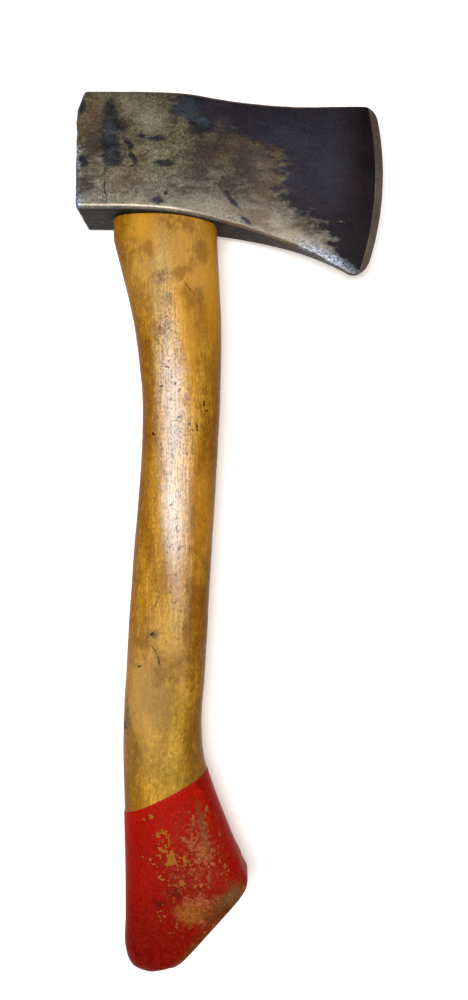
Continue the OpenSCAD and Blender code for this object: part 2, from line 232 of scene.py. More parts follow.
# %% Mesh helpers
def new_piece(name, points, faces):
    """An object at the origin with this mesh, whose points are given in millimetres."""
    mesh = bpy.data.meshes.new(name)
    mesh.from_pydata((np.asarray(points) * MM).tolist(), [], faces)
    piece = bpy.data.objects.new(name, mesh)
    bpy.context.scene.collection.objects.link(piece)
    return piece


def settle(piece):
    """The evaluated shape becomes the piece's own plain mesh, and its modifiers go."""
    bpy.context.view_layer.update()
    ready = piece.evaluated_get(bpy.context.evaluated_depsgraph_get())
    mesh = bpy.data.meshes.new_from_object(ready)
    piece.modifiers.clear()
    piece.data = mesh
    mesh.name = piece.name


def tidy(piece, merge=0.004, crease=35):
    """Closes seams and poles, turns the faces outwards and smooths up to real edges."""
    work = bmesh.new()
    work.from_mesh(piece.data)
    bmesh.ops.remove_doubles(work, verts=work.verts, dist=merge * MM)
    bmesh.ops.dissolve_degenerate(work, edges=work.edges, dist=merge * MM / 4)
    bmesh.ops.recalc_face_normals(work, faces=work.faces)
    work.to_mesh(piece.data)
    work.free()
    piece.data.shade_smooth()
    piece.data.set_sharp_from_angle(angle=math.radians(crease))


def shape_with(piece, tree, sizes):
    """Runs a Geometry Nodes tree on a piece. Its inputs are set by their identifiers."""
    modifier = piece.modifiers.new(tree.name, "NODES")
    modifier.node_group = tree
    for item in tree.interface.items_tree:
        if item.in_out == "INPUT" and item.name in sizes:
            modifier[item.identifier] = sizes[item.name]
    settle(piece)


def cut_away(piece, *cutters):
    """Cuts closed cutters out of a piece and deletes them."""
    for cutter in cutters:
        modifier = piece.modifiers.new("cut", "BOOLEAN")
        modifier.object, modifier.operation, modifier.solver = cutter, "DIFFERENCE", "EXACT"
    settle(piece)
    for cutter in cutters:
        bpy.data.objects.remove(cutter)


def report(piece):
    """Prints what was made, and whether its surface is closed."""
    work = bmesh.new()
    work.from_mesh(piece.data)
    loose = sum(1 for e in work.edges if len(e.link_faces) != 2)
    corners = sum(len(f.verts) - 2 for f in work.faces)
    print(f"{piece.name}: {corners} triangles, {work.calc_volume() / MM ** 3:.0f} mm3,",
          f"{loose} open edges")
    work.free()


# %% [markdown]
# ## A tree that lays rings along stations
# A turned or spoke-shaved handle has one rule: at each station along it there is an
# oval of a known width, thickness and squareness, and its line may turn. So the tree
# takes one point for each station, with those three stored on it, lays a ring of
# points round each, and skins them. A squareness of 2 gives an ellipse and more gives
# a fuller section. The last station may have no size, which closes the end in a pole.
# The same tree makes the eye's cutter and the wedges, which are only squarer.

# %% Tree: rings along stations
rings_tree = bpy.data.node_groups.new("rings_along_stations", "GeometryNodeTree")
for name, kind, way in (("Stations", "NodeSocketGeometry", "INPUT"),
                        ("Points round", "NodeSocketInt", "INPUT"),
                        ("Finish", "NodeSocketMaterial", "INPUT"),
                        ("Skin", "NodeSocketGeometry", "OUTPUT")):
    rings_tree.interface.new_socket(name, in_out=way, socket_type=kind)
given = add(rings_tree, "NodeGroupInput").node.outputs
count = add(rings_tree, "GeometryNodeAttributeDomainSize", {0: given["Stations"]})
columns = add(rings_tree, "FunctionNodeIntegerMath", {0: given["Points round"], 1: 1},
              operation="ADD")
grid = add(rings_tree, "GeometryNodeMeshGrid", {"Vertices X": columns, "Vertices Y": count})
order = add(rings_tree, "GeometryNodeInputIndex")
station = add(rings_tree, "FunctionNodeIntegerMath", {0: order, 1: count}, operation="MODULO")
column = add(rings_tree, "FunctionNodeIntegerMath", {0: order, 1: count}, operation="DIVIDE")
share = add(rings_tree, "ShaderNodeMath", {0: column, 1: given["Points round"]},
            operation="DIVIDE")
angle = add(rings_tree, "ShaderNodeMath", {0: share, 1: 2 * math.pi}, operation="MULTIPLY")
read = {}
for name, kind in (("position", "FLOAT_VECTOR"), ("along", "FLOAT_VECTOR"),
                   ("deep", "FLOAT"), ("square", "FLOAT")):
    field = add(rings_tree, "GeometryNodeInputNamedAttribute", {"Name": name}, data_type=kind)
    read[name] = add(rings_tree, "GeometryNodeSampleIndex",
                     {"Geometry": given["Stations"], "Value": field, "Index": station},
                     data_type=kind)
unit, reach = [], None
for wave in ("COSINE", "SINE"):
    unit.append(add(rings_tree, "ShaderNodeMath", {0: angle}, operation=wave))
    size = add(rings_tree, "ShaderNodeMath", {0: unit[-1]}, operation="ABSOLUTE")
    size = add(rings_tree, "ShaderNodeMath", {0: size, 1: read["square"]}, operation="POWER")
    reach = size if reach is None else add(rings_tree, "ShaderNodeMath",
                                           {0: reach, 1: size}, operation="ADD")
root = add(rings_tree, "ShaderNodeMath", {0: -1.0, 1: read["square"]}, operation="DIVIDE")
reach = add(rings_tree, "ShaderNodeMath", {0: reach, 1: root}, operation="POWER")
unit = [add(rings_tree, "ShaderNodeMath", {0: way, 1: reach}, operation="MULTIPLY")
        for way in unit]
rise = add(rings_tree, "ShaderNodeMath", {0: unit[1], 1: read["deep"]}, operation="MULTIPLY")
across = add(rings_tree, "ShaderNodeVectorMath", {0: read["along"], "Scale": unit[0]},
             operation="SCALE")
up = add(rings_tree, "ShaderNodeCombineXYZ", {"Z": rise})
place = add(rings_tree, "ShaderNodeVectorMath", {0: read["position"], 1: across},
            operation="ADD")
place = add(rings_tree, "ShaderNodeVectorMath", {0: place, 1: up}, operation="ADD")
skin = add(rings_tree, "GeometryNodeSetPosition", {"Geometry": grid, "Position": place})
skin = add(rings_tree, "GeometryNodeMergeByDistance",
           {"Geometry": skin, "Distance": 0.001 * MM})
skin = add(rings_tree, "GeometryNodeRealizeInstances", {"Geometry": skin})
skin = add(rings_tree, "GeometryNodeSetMaterial",
           {"Geometry": skin, "Material": given["Finish"]})
add(rings_tree, "NodeGroupOutput", {0: skin})


# Points round each ring. A wider piece takes more.
EYE_POINTS, HANDLE_POINTS, WOOD_WEDGE_POINTS = 96, 112, 120
STEEL_WEDGE_POINTS, SLOT_POINTS = 72, 40


def ringed(name, rows, around, finish):
    """A piece skinned through rows of [x, y, along x, along y, half depth, squareness]."""
    rows = np.array(rows, float)
    piece = new_piece(name, np.column_stack([rows[:, :2], np.full(len(rows), z_mid)]), [])
    for field, kind, values in (
            ("along", "FLOAT_VECTOR", np.column_stack([rows[:, 2:4] * MM, 0 * rows[:, 0]])),
            ("deep", "FLOAT", rows[:, 4] * MM), ("square", "FLOAT", rows[:, 5])):
        stored = piece.data.attributes.new(field, kind, "POINT")
        stored.data.foreach_set("vector" if values.ndim > 1 else "value", values.ravel())
    shape_with(piece, rings_tree, {"Points round": around, "Finish": finish})
    tidy(piece)
    return piece


print("tree:", rings_tree.name, "with", len(rings_tree.nodes), "nodes")

# %% [markdown]
# ## A tree that weathers a surface
# Hammered and hand-finished things are never quite true. This tree moves each point a
# little along its normal: broad swells for the forging or the spokeshave, and small
# pits where rust or knocks have bitten. Below a level along Y it fades out, which keeps
# the wood true where the enamel has to lie on it.

# %% Tree: weathering
weather_tree = bpy.data.node_groups.new("weathering", "GeometryNodeTree")
for name, kind, way in (("Surface", "NodeSocketGeometry", "INPUT"),
                        ("Swell size", "NodeSocketFloat", "INPUT"),
                        ("Swell depth", "NodeSocketFloat", "INPUT"),
                        ("Pit size", "NodeSocketFloat", "INPUT"),
                        ("Pit depth", "NodeSocketFloat", "INPUT"),
                        ("Pit share", "NodeSocketFloat", "INPUT"),
                        ("True below", "NodeSocketFloat", "INPUT"),
                        ("Seed", "NodeSocketFloat", "INPUT"),
                        ("Finish", "NodeSocketMaterial", "INPUT"),
                        ("Weathered", "NodeSocketGeometry", "OUTPUT")):
    weather_tree.interface.new_socket(name, in_out=way, socket_type=kind)
given = add(weather_tree, "NodeGroupInput").node.outputs
where = add(weather_tree, "GeometryNodeInputPosition")
moves = {}
for what, detail in (("Swell", 2.0), ("Pit", 3.0)):
    often = add(weather_tree, "ShaderNodeMath", {0: 1.0, 1: given[what + " size"]},
                operation="DIVIDE")
    moves[what] = add(weather_tree, "ShaderNodeTexNoise",
                      {"Vector": where, "W": given["Seed"], "Scale": often, "Detail": detail},
                      noise_dimensions="4D")
swell = add(weather_tree, "ShaderNodeMapRange",
            {"Value": moves["Swell"], "From Min": 0.25, "From Max": 0.75, "To Min": -1.0,
             "To Max": 0.4}, clamp=True)
swell = add(weather_tree, "ShaderNodeMath", {0: swell, 1: given["Swell depth"]},
            operation="MULTIPLY")
rim = add(weather_tree, "ShaderNodeMath", {0: given["Pit share"], 1: 0.12}, operation="ADD")
pits = add(weather_tree, "ShaderNodeMapRange",
           {"Value": moves["Pit"], "From Min": rim, "From Max": given["Pit share"],
            "To Min": 0.0, "To Max": -1.0}, interpolation_type="SMOOTHSTEP")
pits = add(weather_tree, "ShaderNodeMath", {0: pits, 1: given["Pit depth"]},
           operation="MULTIPLY")
move = add(weather_tree, "ShaderNodeMath", {0: swell, 1: pits}, operation="ADD")
along_y = add(weather_tree, "ShaderNodeSeparateXYZ", {0: where}).node.outputs["Y"]
FADE = 12  # mm over which the weathering fades out
fade_end = add(weather_tree, "ShaderNodeMath", {0: given["True below"], 1: FADE * MM},
               operation="ADD")
keep = add(weather_tree, "ShaderNodeMapRange",
           {"Value": along_y, "From Min": given["True below"], "From Max": fade_end},
           interpolation_type="SMOOTHSTEP")
move = add(weather_tree, "ShaderNodeMath", {0: move, 1: keep}, operation="MULTIPLY")
facing = add(weather_tree, "GeometryNodeInputNormal")
offset = add(weather_tree, "ShaderNodeVectorMath", {0: facing, "Scale": move},
             operation="SCALE")
moved = add(weather_tree, "GeometryNodeSetPosition",
            {"Geometry": given["Surface"], "Offset": offset})
moved = add(weather_tree, "GeometryNodeRealizeInstances", {"Geometry": moved})
moved = add(weather_tree, "GeometryNodeSetMaterial",
            {"Geometry": moved, "Material": given["Finish"]})
add(weather_tree, "NodeGroupOutput", {0: moved})
EVERYWHERE = -1.0  # a level a metre down, so no part of the piece stays true
print("tree:", weather_tree.name, "with", len(weather_tree.nodes), "nodes")


# %% [markdown]
# ## Marks in fixed places
# An old tool's stains and knocks have places of their own. In a finish, each mark is an
# ellipse: a Mapping node of the Texture kind moves, turns and sizes the coordinates so
# that the mark's rim lies at a distance of 1, and the smallest distance of all wins. A
# noise that pushes the coordinates about first makes the rims ragged.

# %% Marks
def nearest_mark(tree, where, marks):
    """Distance to the nearest mark, 1 at its rim: [x, y, half width, half height, degrees]."""
    nearest = None
    for x, y, half_x, half_y, degrees in marks:
        local = add(tree, "ShaderNodeMapping",
                    {"Vector": where, "Location": (x * MM, y * MM, 0),
                     "Rotation": (0, 0, math.radians(degrees)),
                     "Scale": (half_x * MM, half_y * MM, 1.0)}, vector_type="TEXTURE")
        far = add(tree, "ShaderNodeVectorMath", {0: local},
                  operation="LENGTH").node.outputs["Value"]
        nearest = far if nearest is None else add(
            tree, "ShaderNodeMath", {0: nearest, 1: far}, operation="MINIMUM")
    return nearest


def pushed_about(tree, place, pattern, reach):
    """The place, moved by a noise pattern's colour by up to half the reach each way."""
    push = add(tree, "ShaderNodeVectorMath",
               {0: pattern.node.outputs["Color"], 1: (0.5, 0.5, 0.5)}, operation="SUBTRACT")
    push = add(tree, "ShaderNodeVectorMath", {0: push, "Scale": reach}, operation="SCALE")
    return add(tree, "ShaderNodeVectorMath", {0: place, 1: push}, operation="ADD")


def marked(tree, colour, near, rim, upper, shade):
    """A colour under marks that fade in from soft to hard, and there cover most of it."""
    soft, hard, most = rim
    amount = add(tree, "ShaderNodeMapRange", {"Value": near, "From Min": soft,
                                              "From Max": hard, "To Max": most})
    amount = add(tree, "ShaderNodeMath", {0: amount, 1: upper}, operation="MULTIPLY")
    return add(tree, "ShaderNodeMix", {"Factor": amount, "A": colour, "B": linear(shade)},
               data_type="RGBA")


def toned(tree, colour, pattern, low, high):
    """A colour times a pattern, from low where it is dark to high where it is light."""
    tone = add(tree, "ShaderNodeMapRange", {"Value": pattern, "From Min": 0.3,
                                            "From Max": 0.7, "To Min": low, "To Max": high})
    return add(tree, "ShaderNodeVectorMath", {0: colour, "Scale": tone}, operation="SCALE")


def set_stops(ramp, stops):
    """Gives a ramp the stops [value, hex colour], and takes away the two it came with."""
    for at, colour in stops:
        stop = ramp.color_ramp.elements.new(at)
        stop.color = linear(colour)
    for spare in (0, -1):
        ramp.color_ramp.elements.remove(ramp.color_ramp.elements[spare])


def finish_tree(name):
    """A new material, its empty tree, and the place of a point on the object."""
    material = bpy.data.materials.new(name)
    material.use_nodes = True
    material.node_tree.nodes.clear()
    place = add(material.node_tree, "ShaderNodeTexCoord").node.outputs["Object"]
    return material, material.node_tree, place


print("marks are ellipses in the plane of the tool")

# %% [markdown]
# ## Finish: forged carbon steel with its patina
# The head was drop forged, its cheeks ground, and its blade hardened and tempered. Age
# gives three things: an olive-brown film mottled at every scale, a blue-black oxide
# that covers the hardened blade up to a ragged border, and stains where something lay
# on it. Top, underside and eye keep the black forging scale, and the poll's face is
# struck grey. Where edges turn, handling has worn the film down to bare metal. The film
# is so thin that the steel still reads as metal under it, and only rust and scale are
# thick enough to hide that. Grinding marks are about a tenth of a millimetre apart,
# drawn here at 0.6 so that they show.

# %% Forged steel: the mottled film
forged_steel, tree, place = finish_tree("ForgedSteelPatina")
x_y_z = add(tree, "ShaderNodeSeparateXYZ", {0: place}).node.outputs
upper = add(tree, "ShaderNodeMapRange", {"Value": x_y_z["Z"], "From Min": 12.5 * MM,
                                         "From Max": 13.5 * MM})
drawn_out = add(tree, "ShaderNodeMapping", {"Vector": place, "Scale": (0.3, 1.0, 1.0)})
flakes = add(tree, "ShaderNodeTexNoise", {"Vector": drawn_out, "Scale": 1 / (3.4 * MM),
                                          "Detail": 9.0, "Roughness": 0.68})
wobble = add(tree, "ShaderNodeTexNoise", {"Vector": drawn_out, "Scale": 1 / (4.5 * MM),
                                          "Detail": 6.0, "Roughness": 0.66})
wobble = add(tree, "ShaderNodeVectorMath",
             {0: wobble.node.outputs["Color"], 1: (0.5, 0.5, 0.5)}, operation="SUBTRACT")
ragged = add(tree, "ShaderNodeVectorMath", {0: wobble, 1: (16 * MM, 7 * MM, 7 * MM)},
             operation="MULTIPLY")
ragged = add(tree, "ShaderNodeVectorMath", {0: place, 1: ragged}, operation="ADD")
film = add(tree, "ShaderNodeTexNoise", {"Vector": place, "Scale": 1 / (11 * MM),
                                        "Detail": 7.0, "Roughness": 0.58})
film_ramp = add(tree, "ShaderNodeValToRGB", {"Fac": film}).node
set_stops(film_ramp, [(0.3, "4b4236"), (0.44, "6c634f"), (0.56, "807860"), (0.72, "968f76")])
browned = add(tree, "ShaderNodeTexNoise", {"Vector": ragged, "Scale": 1 / (9 * MM),
                                           "Detail": 4.0, "Roughness": 0.6})
browned = add(tree, "ShaderNodeMapRange", {"Value": browned, "From Min": 0.47,
                                           "From Max": 0.62, "To Max": 0.55})
to_blade = add(tree, "ShaderNodeMapRange", {"Value": x_y_z["X"], "From Min": 8 * MM,
                                            "From Max": 34 * MM, "To Max": 0.4})
browned = add(tree, "ShaderNodeMath", {0: browned, 1: to_blade}, use_clamp=True)
colour = add(tree, "ShaderNodeMix", {"Factor": browned, "A": film_ramp.outputs["Color"],
                                     "B": linear("66503c")}, data_type="RGBA")
# Painted sheen: the film is mixed towards a lighter grey down towards the underside, where the
# lamps' sheen falls.
painted_sheen_to_foot = add(tree, "ShaderNodeMapRange", {"Value": x_y_z["Y"], "From Min": -2 * MM,
                                           "From Max": -24 * MM, "To Max": 0.7})
colour = add(tree, "ShaderNodeMix", {"Factor": painted_sheen_to_foot, "A": colour,
                                     "B": linear("857f77")}, data_type="RGBA")
speckle = add(tree, "ShaderNodeTexNoise", {"Vector": place, "Scale": 1 / (1.1 * MM),
                                           "Detail": 5.0, "Roughness": 0.7})
ground = add(tree, "ShaderNodeMapping", {"Vector": place, "Scale": (0.05, 1.0, 1.0)})
ground = add(tree, "ShaderNodeTexNoise", {"Vector": ground, "Scale": 1 / (0.6 * MM),
                                          "Detail": 4.0})
for pattern, low, high in ((speckle, 0.56, 1.4), (flakes, 0.8, 1.18), (ground, 0.88, 1.12)):
    colour = toned(tree, colour, pattern, low, high)
print("patina stops:", len(film_ramp.color_ramp.elements))

# %% Forged steel: where rust, smoke, oxide, stains, bare metal, pale spots and painted sheen lie
RUST = [(41, -13, 6.5, 10, 12), (56, -27, 8, 3, -25), (34, -24, 9, 4, -20), (-31, 19, 3, 4, 0),
        (23, 11, 4, 3, 0), (-27, 12, 5, 9, 0), (-17, -12, 8, 3.5, 20), (30, 2, 5, 4, 0)]
SMOKE = [(18, 1, 9, 16, -22), (-27, 2, 6, 5, 0), (28, 13, 13, 8, -20), (33, -3, 7, 9, 20),
         (27, -12, 8, 5, -20), (-30, -14, 3, 3, 0)]
OXIDE = [(79, -3, 33, 30, 0), (43, 18, 34, 13.5, -10), (84, -29, 18, 20, -20)]
STAINS = [(-21.2, 15.8, 2.4, 4.0, -10), (-20.4, 9.6, 4.6, 5.0, 0), (-21.2, 3.8, 4.0, 5.0, 0),
          (-19.8, -3.0, 4.6, 5.0, 0), (-13.4, 1.2, 1.3, 3.2, 30), (-11.6, -3.6, 1.2, 3.0, 20),
          (0.4, -5.2, 4.4, 1.5, 3), (-2.2, 4.2, 3.2, 1.0, 8), (9.6, 16.8, 6.4, 5.6, -12),
          (15, 11.5, 6.0, 4.6, -20), (-31.4, -4.8, 2.2, 2.4, 0), (-23.0, -15.5, 0.35, 5.5, 0),
          (-2.4, -20.6, 3.6, 1.2, 0), (-32.4, 18.6, 1.8, 4.2, 0), (27.5, -19.0, 0.9, 4.4, 40),
          (1.5, -17.5, 0.9, 0.8, 0), (-8, 5, 2.4, 0.7, 0), (33, -26.6, 0.8, 4.0, 58)]
# Pale tan spots. The first two marks, and the one at x 14.5, are painted sheen along the lower
# edge and towards the heel.
PALE_SPOTS_AND_SHEEN = [(51.5, -32.5, 13, 5.0, -25), (0, -22.5, 30, 3.0, 0), (28.2, 10.7, 1.6, 1.8, 0),
        (62.4, -31.6, 2.8, 2.0, -20), (38.5, -4.0, 3.4, 5.0, 20), (14.5, -20.5, 4.0, 3.0, 0),
        (-4, 12, 5, 6, 0), (-12, 16, 4, 3, 0)]
SHEEN = [(-20.8, 8.0, 1.9, 3.8, 0), (-20.4, -1.0, 1.4, 1.8, 0), (9.8, 16.2, 4.4, 3.8, -12),
         (15.5, 11.5, 3.0, 2.4, -20)]
# Bare metal worn through at the poll's edges. The first mark, along the heel's lower edge, is
# bare metal with a painted highlight on it.
BARE_METAL_AND_HEEL_SHEEN = [(66.0, -42.4, 12, 4.6, -31), (-34.2, -8, 1.3, 3.6, 0), (-34.4, -20, 1.6, 4.5, 0),
        (-33.9, -1, 0.9, 2.2, 0), (-34, 12, 0.7, 1.6, 0), (-33.8, 6, 0.7, 1.2, 0)]
torn = add(tree, "ShaderNodeMapping", {"Vector": place, "Scale": (0.55, 1.0, 1.0)})
torn = add(tree, "ShaderNodeTexNoise", {"Vector": torn, "Scale": 1 / (2.4 * MM),
                                        "Detail": 5.0, "Roughness": 0.6})
broken = add(tree, "ShaderNodeMath", {0: torn, 1: flakes}, operation="ADD")
broken = add(tree, "ShaderNodeMath", {0: broken, 1: 1.0}, operation="SUBTRACT")
wandering = add(tree, "ShaderNodeVectorMath", {0: wobble, "Scale": 5.2 * MM}, operation="SCALE")
wandering = add(tree, "ShaderNodeVectorMath", {0: place, 1: wandering}, operation="ADD")
covers = {}
for name, marks, bent, uneven, rim, most in (
        ("pale", PALE_SPOTS_AND_SHEEN, ragged, 1.6, 1.2, 0.6), ("rust", RUST, ragged, 2.6, 0.9, 0.5),
        ("smoke", SMOKE, ragged, 2.2, 1.0, 0.66), ("verge", OXIDE, ragged, 0.9, 0.7, 0.5),
        ("oxide", OXIDE, ragged, 0.8, 0.2, 0.96), ("stain", STAINS, wandering, 1.3, 0.7, 0.88),
        ("sheen", SHEEN, wandering, 1.6, 0.8, 0.6), ("bare", BARE_METAL_AND_HEEL_SHEEN, wandering, 1.2, 1.1, 1.0)):
    near = nearest_mark(tree, bent, marks)
    near = add(tree, "ShaderNodeMath", {0: broken, 1: uneven, 2: near},
               operation="MULTIPLY_ADD")
    middle = 1.2 if name == "verge" else 1
    cover = add(tree, "ShaderNodeMapRange", {"Value": near, "From Min": middle + rim / 2,
                                             "From Max": middle - rim / 2, "To Max": most})
    covers[name] = cover
covers["stain"] = add(tree, "ShaderNodeMath", {0: covers["stain"], 1: upper},
                      operation="MULTIPLY")
print("marks on the steel:", sum(map(len, (RUST, SMOKE, OXIDE, STAINS, PALE_SPOTS_AND_SHEEN, SHEEN, BARE_METAL_AND_HEEL_SHEEN))))

# %% Forged steel: their colours, one over the other
oxide_tone = add(tree, "ShaderNodeTexNoise", {"Vector": place, "Scale": 1 / (22 * MM),
                                              "Detail": 4.0})
oxide_colour = add(tree, "ShaderNodeMix", {"Factor": oxide_tone, "A": linear("342b32"),
                                           "B": linear("3e404b")}, data_type="RGBA")
# Painted shade: the oxide is darkened towards the bevel, as a dark reflection there. It is also
# darkened towards the heel.
painted_shade_to_edge = add(tree, "ShaderNodeMapRange", {"Value": x_y_z["X"], "From Min": 68 * MM,
                                           "From Max": 82 * MM})
to_heel = add(tree, "ShaderNodeMapRange", {"Value": x_y_z["Y"], "From Min": -8 * MM,
                                           "From Max": -28 * MM, "To Max": 0.9})
for amount, shade in ((painted_shade_to_edge, "1c1417"), (to_heel, "191419")):
    oxide_colour = add(tree, "ShaderNodeMix", {"Factor": amount, "A": oxide_colour,
                                               "B": linear(shade)}, data_type="RGBA")
# Bright bare metal, which at the heel is also a painted highlight.
bare_tone = add(tree, "ShaderNodeMapRange", {"Value": speckle, "From Min": 0.38,
                                             "From Max": 0.62, "To Min": 0.1, "To Max": 1.0})
silver_and_heel_sheen = add(tree, "ShaderNodeVectorMath", {0: linear("b6c0d0")[:3], "Scale": bare_tone},
             operation="SCALE")
rust_tone = add(tree, "ShaderNodeMix", {"Factor": speckle, "A": linear("33211a"),
                                        "B": linear("74523a")}, data_type="RGBA")
stain_tone = add(tree, "ShaderNodeMix", {"Factor": flakes, "A": linear("16171c"),
                                         "B": linear("30343e")}, data_type="RGBA")
for name, shade in (("pale", linear("a49986")), ("rust", rust_tone),
                    ("smoke", linear("362f2e")), ("verge", linear("43382f")),
                    ("oxide", oxide_colour), ("stain", stain_tone),
                    ("sheen", linear("4a525c")), ("bare", silver_and_heel_sheen)):
    colour = add(tree, "ShaderNodeMix", {"Factor": covers[name], "A": colour, "B": shade},
                 data_type="RGBA")
print("covers:", ", ".join(covers))

# %% Forged steel: black scale, bare edges and the shader
facing = add(tree, "ShaderNodeNewGeometry").node.outputs["Normal"]
flat = add(tree, "ShaderNodeVectorMath", {0: facing}, operation="ABSOLUTE")
flat = add(tree, "ShaderNodeSeparateXYZ", {0: flat}).node.outputs
scaled = add(tree, "ShaderNodeMapRange", {"Value": flat["Y"], "From Min": 0.8,
                                          "From Max": 0.97, "To Max": 0.95})
scale_tone = add(tree, "ShaderNodeMapRange", {"Value": torn, "From Min": 0.48,
                                              "From Max": 0.64})
scale_tone = add(tree, "ShaderNodeMix", {"Factor": scale_tone, "A": linear("0e0d0f"),
                                         "B": linear("40352e")}, data_type="RGBA")
struck = add(tree, "ShaderNodeMapRange", {"Value": flat["X"], "From Min": 0.85,
                                          "From Max": 0.98})
worn_off = add(tree, "ShaderNodeMath", {0: speckle, 1: 0.5, 2: film},
               operation="MULTIPLY_ADD")
struck_tone = add(tree, "ShaderNodeMapRange", {"Value": worn_off, "From Min": 0.6,
                                               "From Max": 0.9})
struck_tone = add(tree, "ShaderNodeMix", {"Factor": struck_tone, "A": linear("4c443c"),
                                          "B": linear("858079")}, data_type="RGBA")
for amount, shade in ((scaled, scale_tone), (struck, struck_tone)):
    colour = add(tree, "ShaderNodeMix", {"Factor": amount, "A": colour, "B": shade},
                 data_type="RGBA")
grit = add(tree, "ShaderNodeTexNoise", {"Vector": place, "Scale": 1 / (0.55 * MM),
                                        "Detail": 2.0, "Roughness": 0.6})
colour = toned(tree, colour, grit, 0.74, 1.28)
flattest = add(tree, "ShaderNodeMath", {0: flat["X"], 1: flat["Y"]}, operation="MAXIMUM")
flattest = add(tree, "ShaderNodeMath", {0: flattest, 1: flat["Z"]}, operation="MAXIMUM")
turning = add(tree, "ShaderNodeMapRange", {"Value": flattest, "From Min": 0.98,
                                           "From Max": 0.86})
wear = add(tree, "ShaderNodeMapRange", {"Value": broken, "From Min": -0.12,
                                        "From Max": 0.2})
bare_edge = add(tree, "ShaderNodeMath", {0: turning, 1: wear}, operation="MULTIPLY")
warm = add(tree, "ShaderNodeMapRange", {"Value": x_y_z["X"], "From Min": -2 * MM,
                                        "From Max": 16 * MM})
edge_colour = add(tree, "ShaderNodeMix", {"Factor": warm, "A": linear("64646a"),
                                          "B": linear("7c5c44")}, data_type="RGBA")
colour = add(tree, "ShaderNodeMix", {"Factor": bare_edge, "A": colour, "B": edge_colour},
             data_type="RGBA")
metal = add(tree, "ShaderNodeMath", {0: covers["rust"], 1: -0.8, 2: 0.9},
            operation="MULTIPLY_ADD")
metal = add(tree, "ShaderNodeMath", {0: scaled, 1: -0.7, 2: metal}, operation="MULTIPLY_ADD",
            use_clamp=True)
rough = add(tree, "ShaderNodeMapRange", {"Value": speckle, "From Min": 0.3, "From Max": 0.7,
                                         "To Min": 0.34, "To Max": 0.5})
for amount, duller in ((scaled, 0.35), (turning, 0.2)):
    rough = add(tree, "ShaderNodeMath", {0: amount, 1: duller, 2: rough},
                operation="MULTIPLY_ADD")
relief = add(tree, "ShaderNodeMath", {0: speckle, 1: 0.6, 2: flakes}, operation="MULTIPLY_ADD")
relief = add(tree, "ShaderNodeMath", {0: covers["oxide"], 1: -0.25, 2: relief},
             operation="MULTIPLY_ADD")
bumps = add(tree, "ShaderNodeBump", {"Height": relief, "Strength": 0.5, "Distance": 0.09 * MM})
surface = add(tree, "ShaderNodeBsdfPrincipled",
              {"Base Color": colour, "Metallic": metal, "Roughness": rough,
               "Specular IOR Level": 0.3, "Normal": bumps})
add(tree, "ShaderNodeOutputMaterial", {"Surface": surface})
print("forged steel:", len(tree.nodes), "nodes")

# %% [markdown]
# ## Finish: ground bevel
# The last few millimetres were ground on a wheel and dressed with a stone, across the
# edge. Fresh they would be bright. Here they have gone brown. The stone's marks are
# finer than a tenth of a millimetre, and are drawn 0.6 apart so that they show.

# %% Ground steel
ground_steel, tree, place = finish_tree("GroundSteel")
strokes = add(tree, "ShaderNodeMapping", {"Vector": place, "Scale": (0.25, 1.0, 0.25)})
strokes = add(tree, "ShaderNodeTexNoise", {"Vector": strokes, "Scale": 1 / (0.6 * MM),
                                           "Detail": 3.0})
tarnish = add(tree, "ShaderNodeTexNoise", {"Vector": place, "Scale": 1 / (9 * MM),
                                           "Detail": 5.0})
colour = add(tree, "ShaderNodeMix", {"Factor": tarnish, "A": linear("443930"),
                                     "B": linear("7e6e5d")}, data_type="RGBA")
colour = toned(tree, colour, strokes, 0.75, 1.25)
bumps = add(tree, "ShaderNodeBump", {"Height": strokes, "Strength": 0.4,
                                     "Distance": 0.04 * MM})
surface = add(tree, "ShaderNodeBsdfPrincipled",
              {"Base Color": colour, "Metallic": 0.7, "Roughness": 0.42, "Normal": bumps})
add(tree, "ShaderNodeOutputMaterial", {"Surface": surface})
print("ground steel:", len(tree.nodes), "nodes")

# %% [markdown]
# ## The head
# A forging like this is a run of cross-sections from the poll to the edge. Each one
# knows its top, its underside and its thickness, and towards the edge each one bends
# to follow the cutting edge's curve. So the head is lofted, with a ring of points for
# every 0.6 mm. The poll's face is a nest of shrinking rings, which gives its flat
# enough points to take hammer marks.


# %% Curves of the head
def clamp01(t):
    """A value held between 0 and 1."""
    return np.clip(t, 0, 1)


def blend(a, b, t):
    """The value that is a share t of the way from a to b."""
    return a + (b - a) * t


def corner_loss(r, d):
    """Depth lost to a rounded corner of radius r, at a distance d from its end."""
    return 0 if d >= r else r - math.sqrt(max(0, r * r - (r - d) ** 2))


def top_y(x):
    """The head's top at x: a long shallow hollow from the eye to the toe."""
    t = clamp01((x - x_hollow) / (x_edge - toe_r - x_hollow))
    return y_top - top_dip * np.sin(np.pi * t) ** 2 - toe_drop * t


def under_y(x):
    """The head's underside at x: flat under the poll, then one arc down to the heel."""
    return y_under - under_r + np.sqrt(under_r ** 2 - np.maximum(0, x - x_under) ** 2)


def swept_x(x, y):
    """Where the section x lies at the height y: sections bend like the cutting edge."""
    sweep = edge_r - np.sqrt(edge_r ** 2 - (y - edge_apex) ** 2)
    return x - clamp01((x - x_taper) / (x_edge - x_taper)) ** 1.5 * sweep


def head_z(x):
    """Half the thickness: parallel sides, then hollow cheeks, then the ground bevel."""
    if x > x_bevel:
        return blend(edge_t / 2, bevel_t / 2, (x_edge - x) / bevel_w)
    past = x - x_taper
    closing = max(past, 0) if abs(past) >= taper_blend else (past + taper_blend) ** 2 / (
        4 * taper_blend)
    return blend(bevel_t / 2, head_t / 2, (1 - closing / (x_bevel - x_taper)) ** hollow)


CORNER_STEPS, FACE_STEPS, EDGE_STEPS = 6, 96, 26  # points on each part of a section
NEST_RINGS, BLADE_RINGS, BEVEL_RINGS = 17, 14, 13
SECTION_GAP = 0.6  # mm between sections


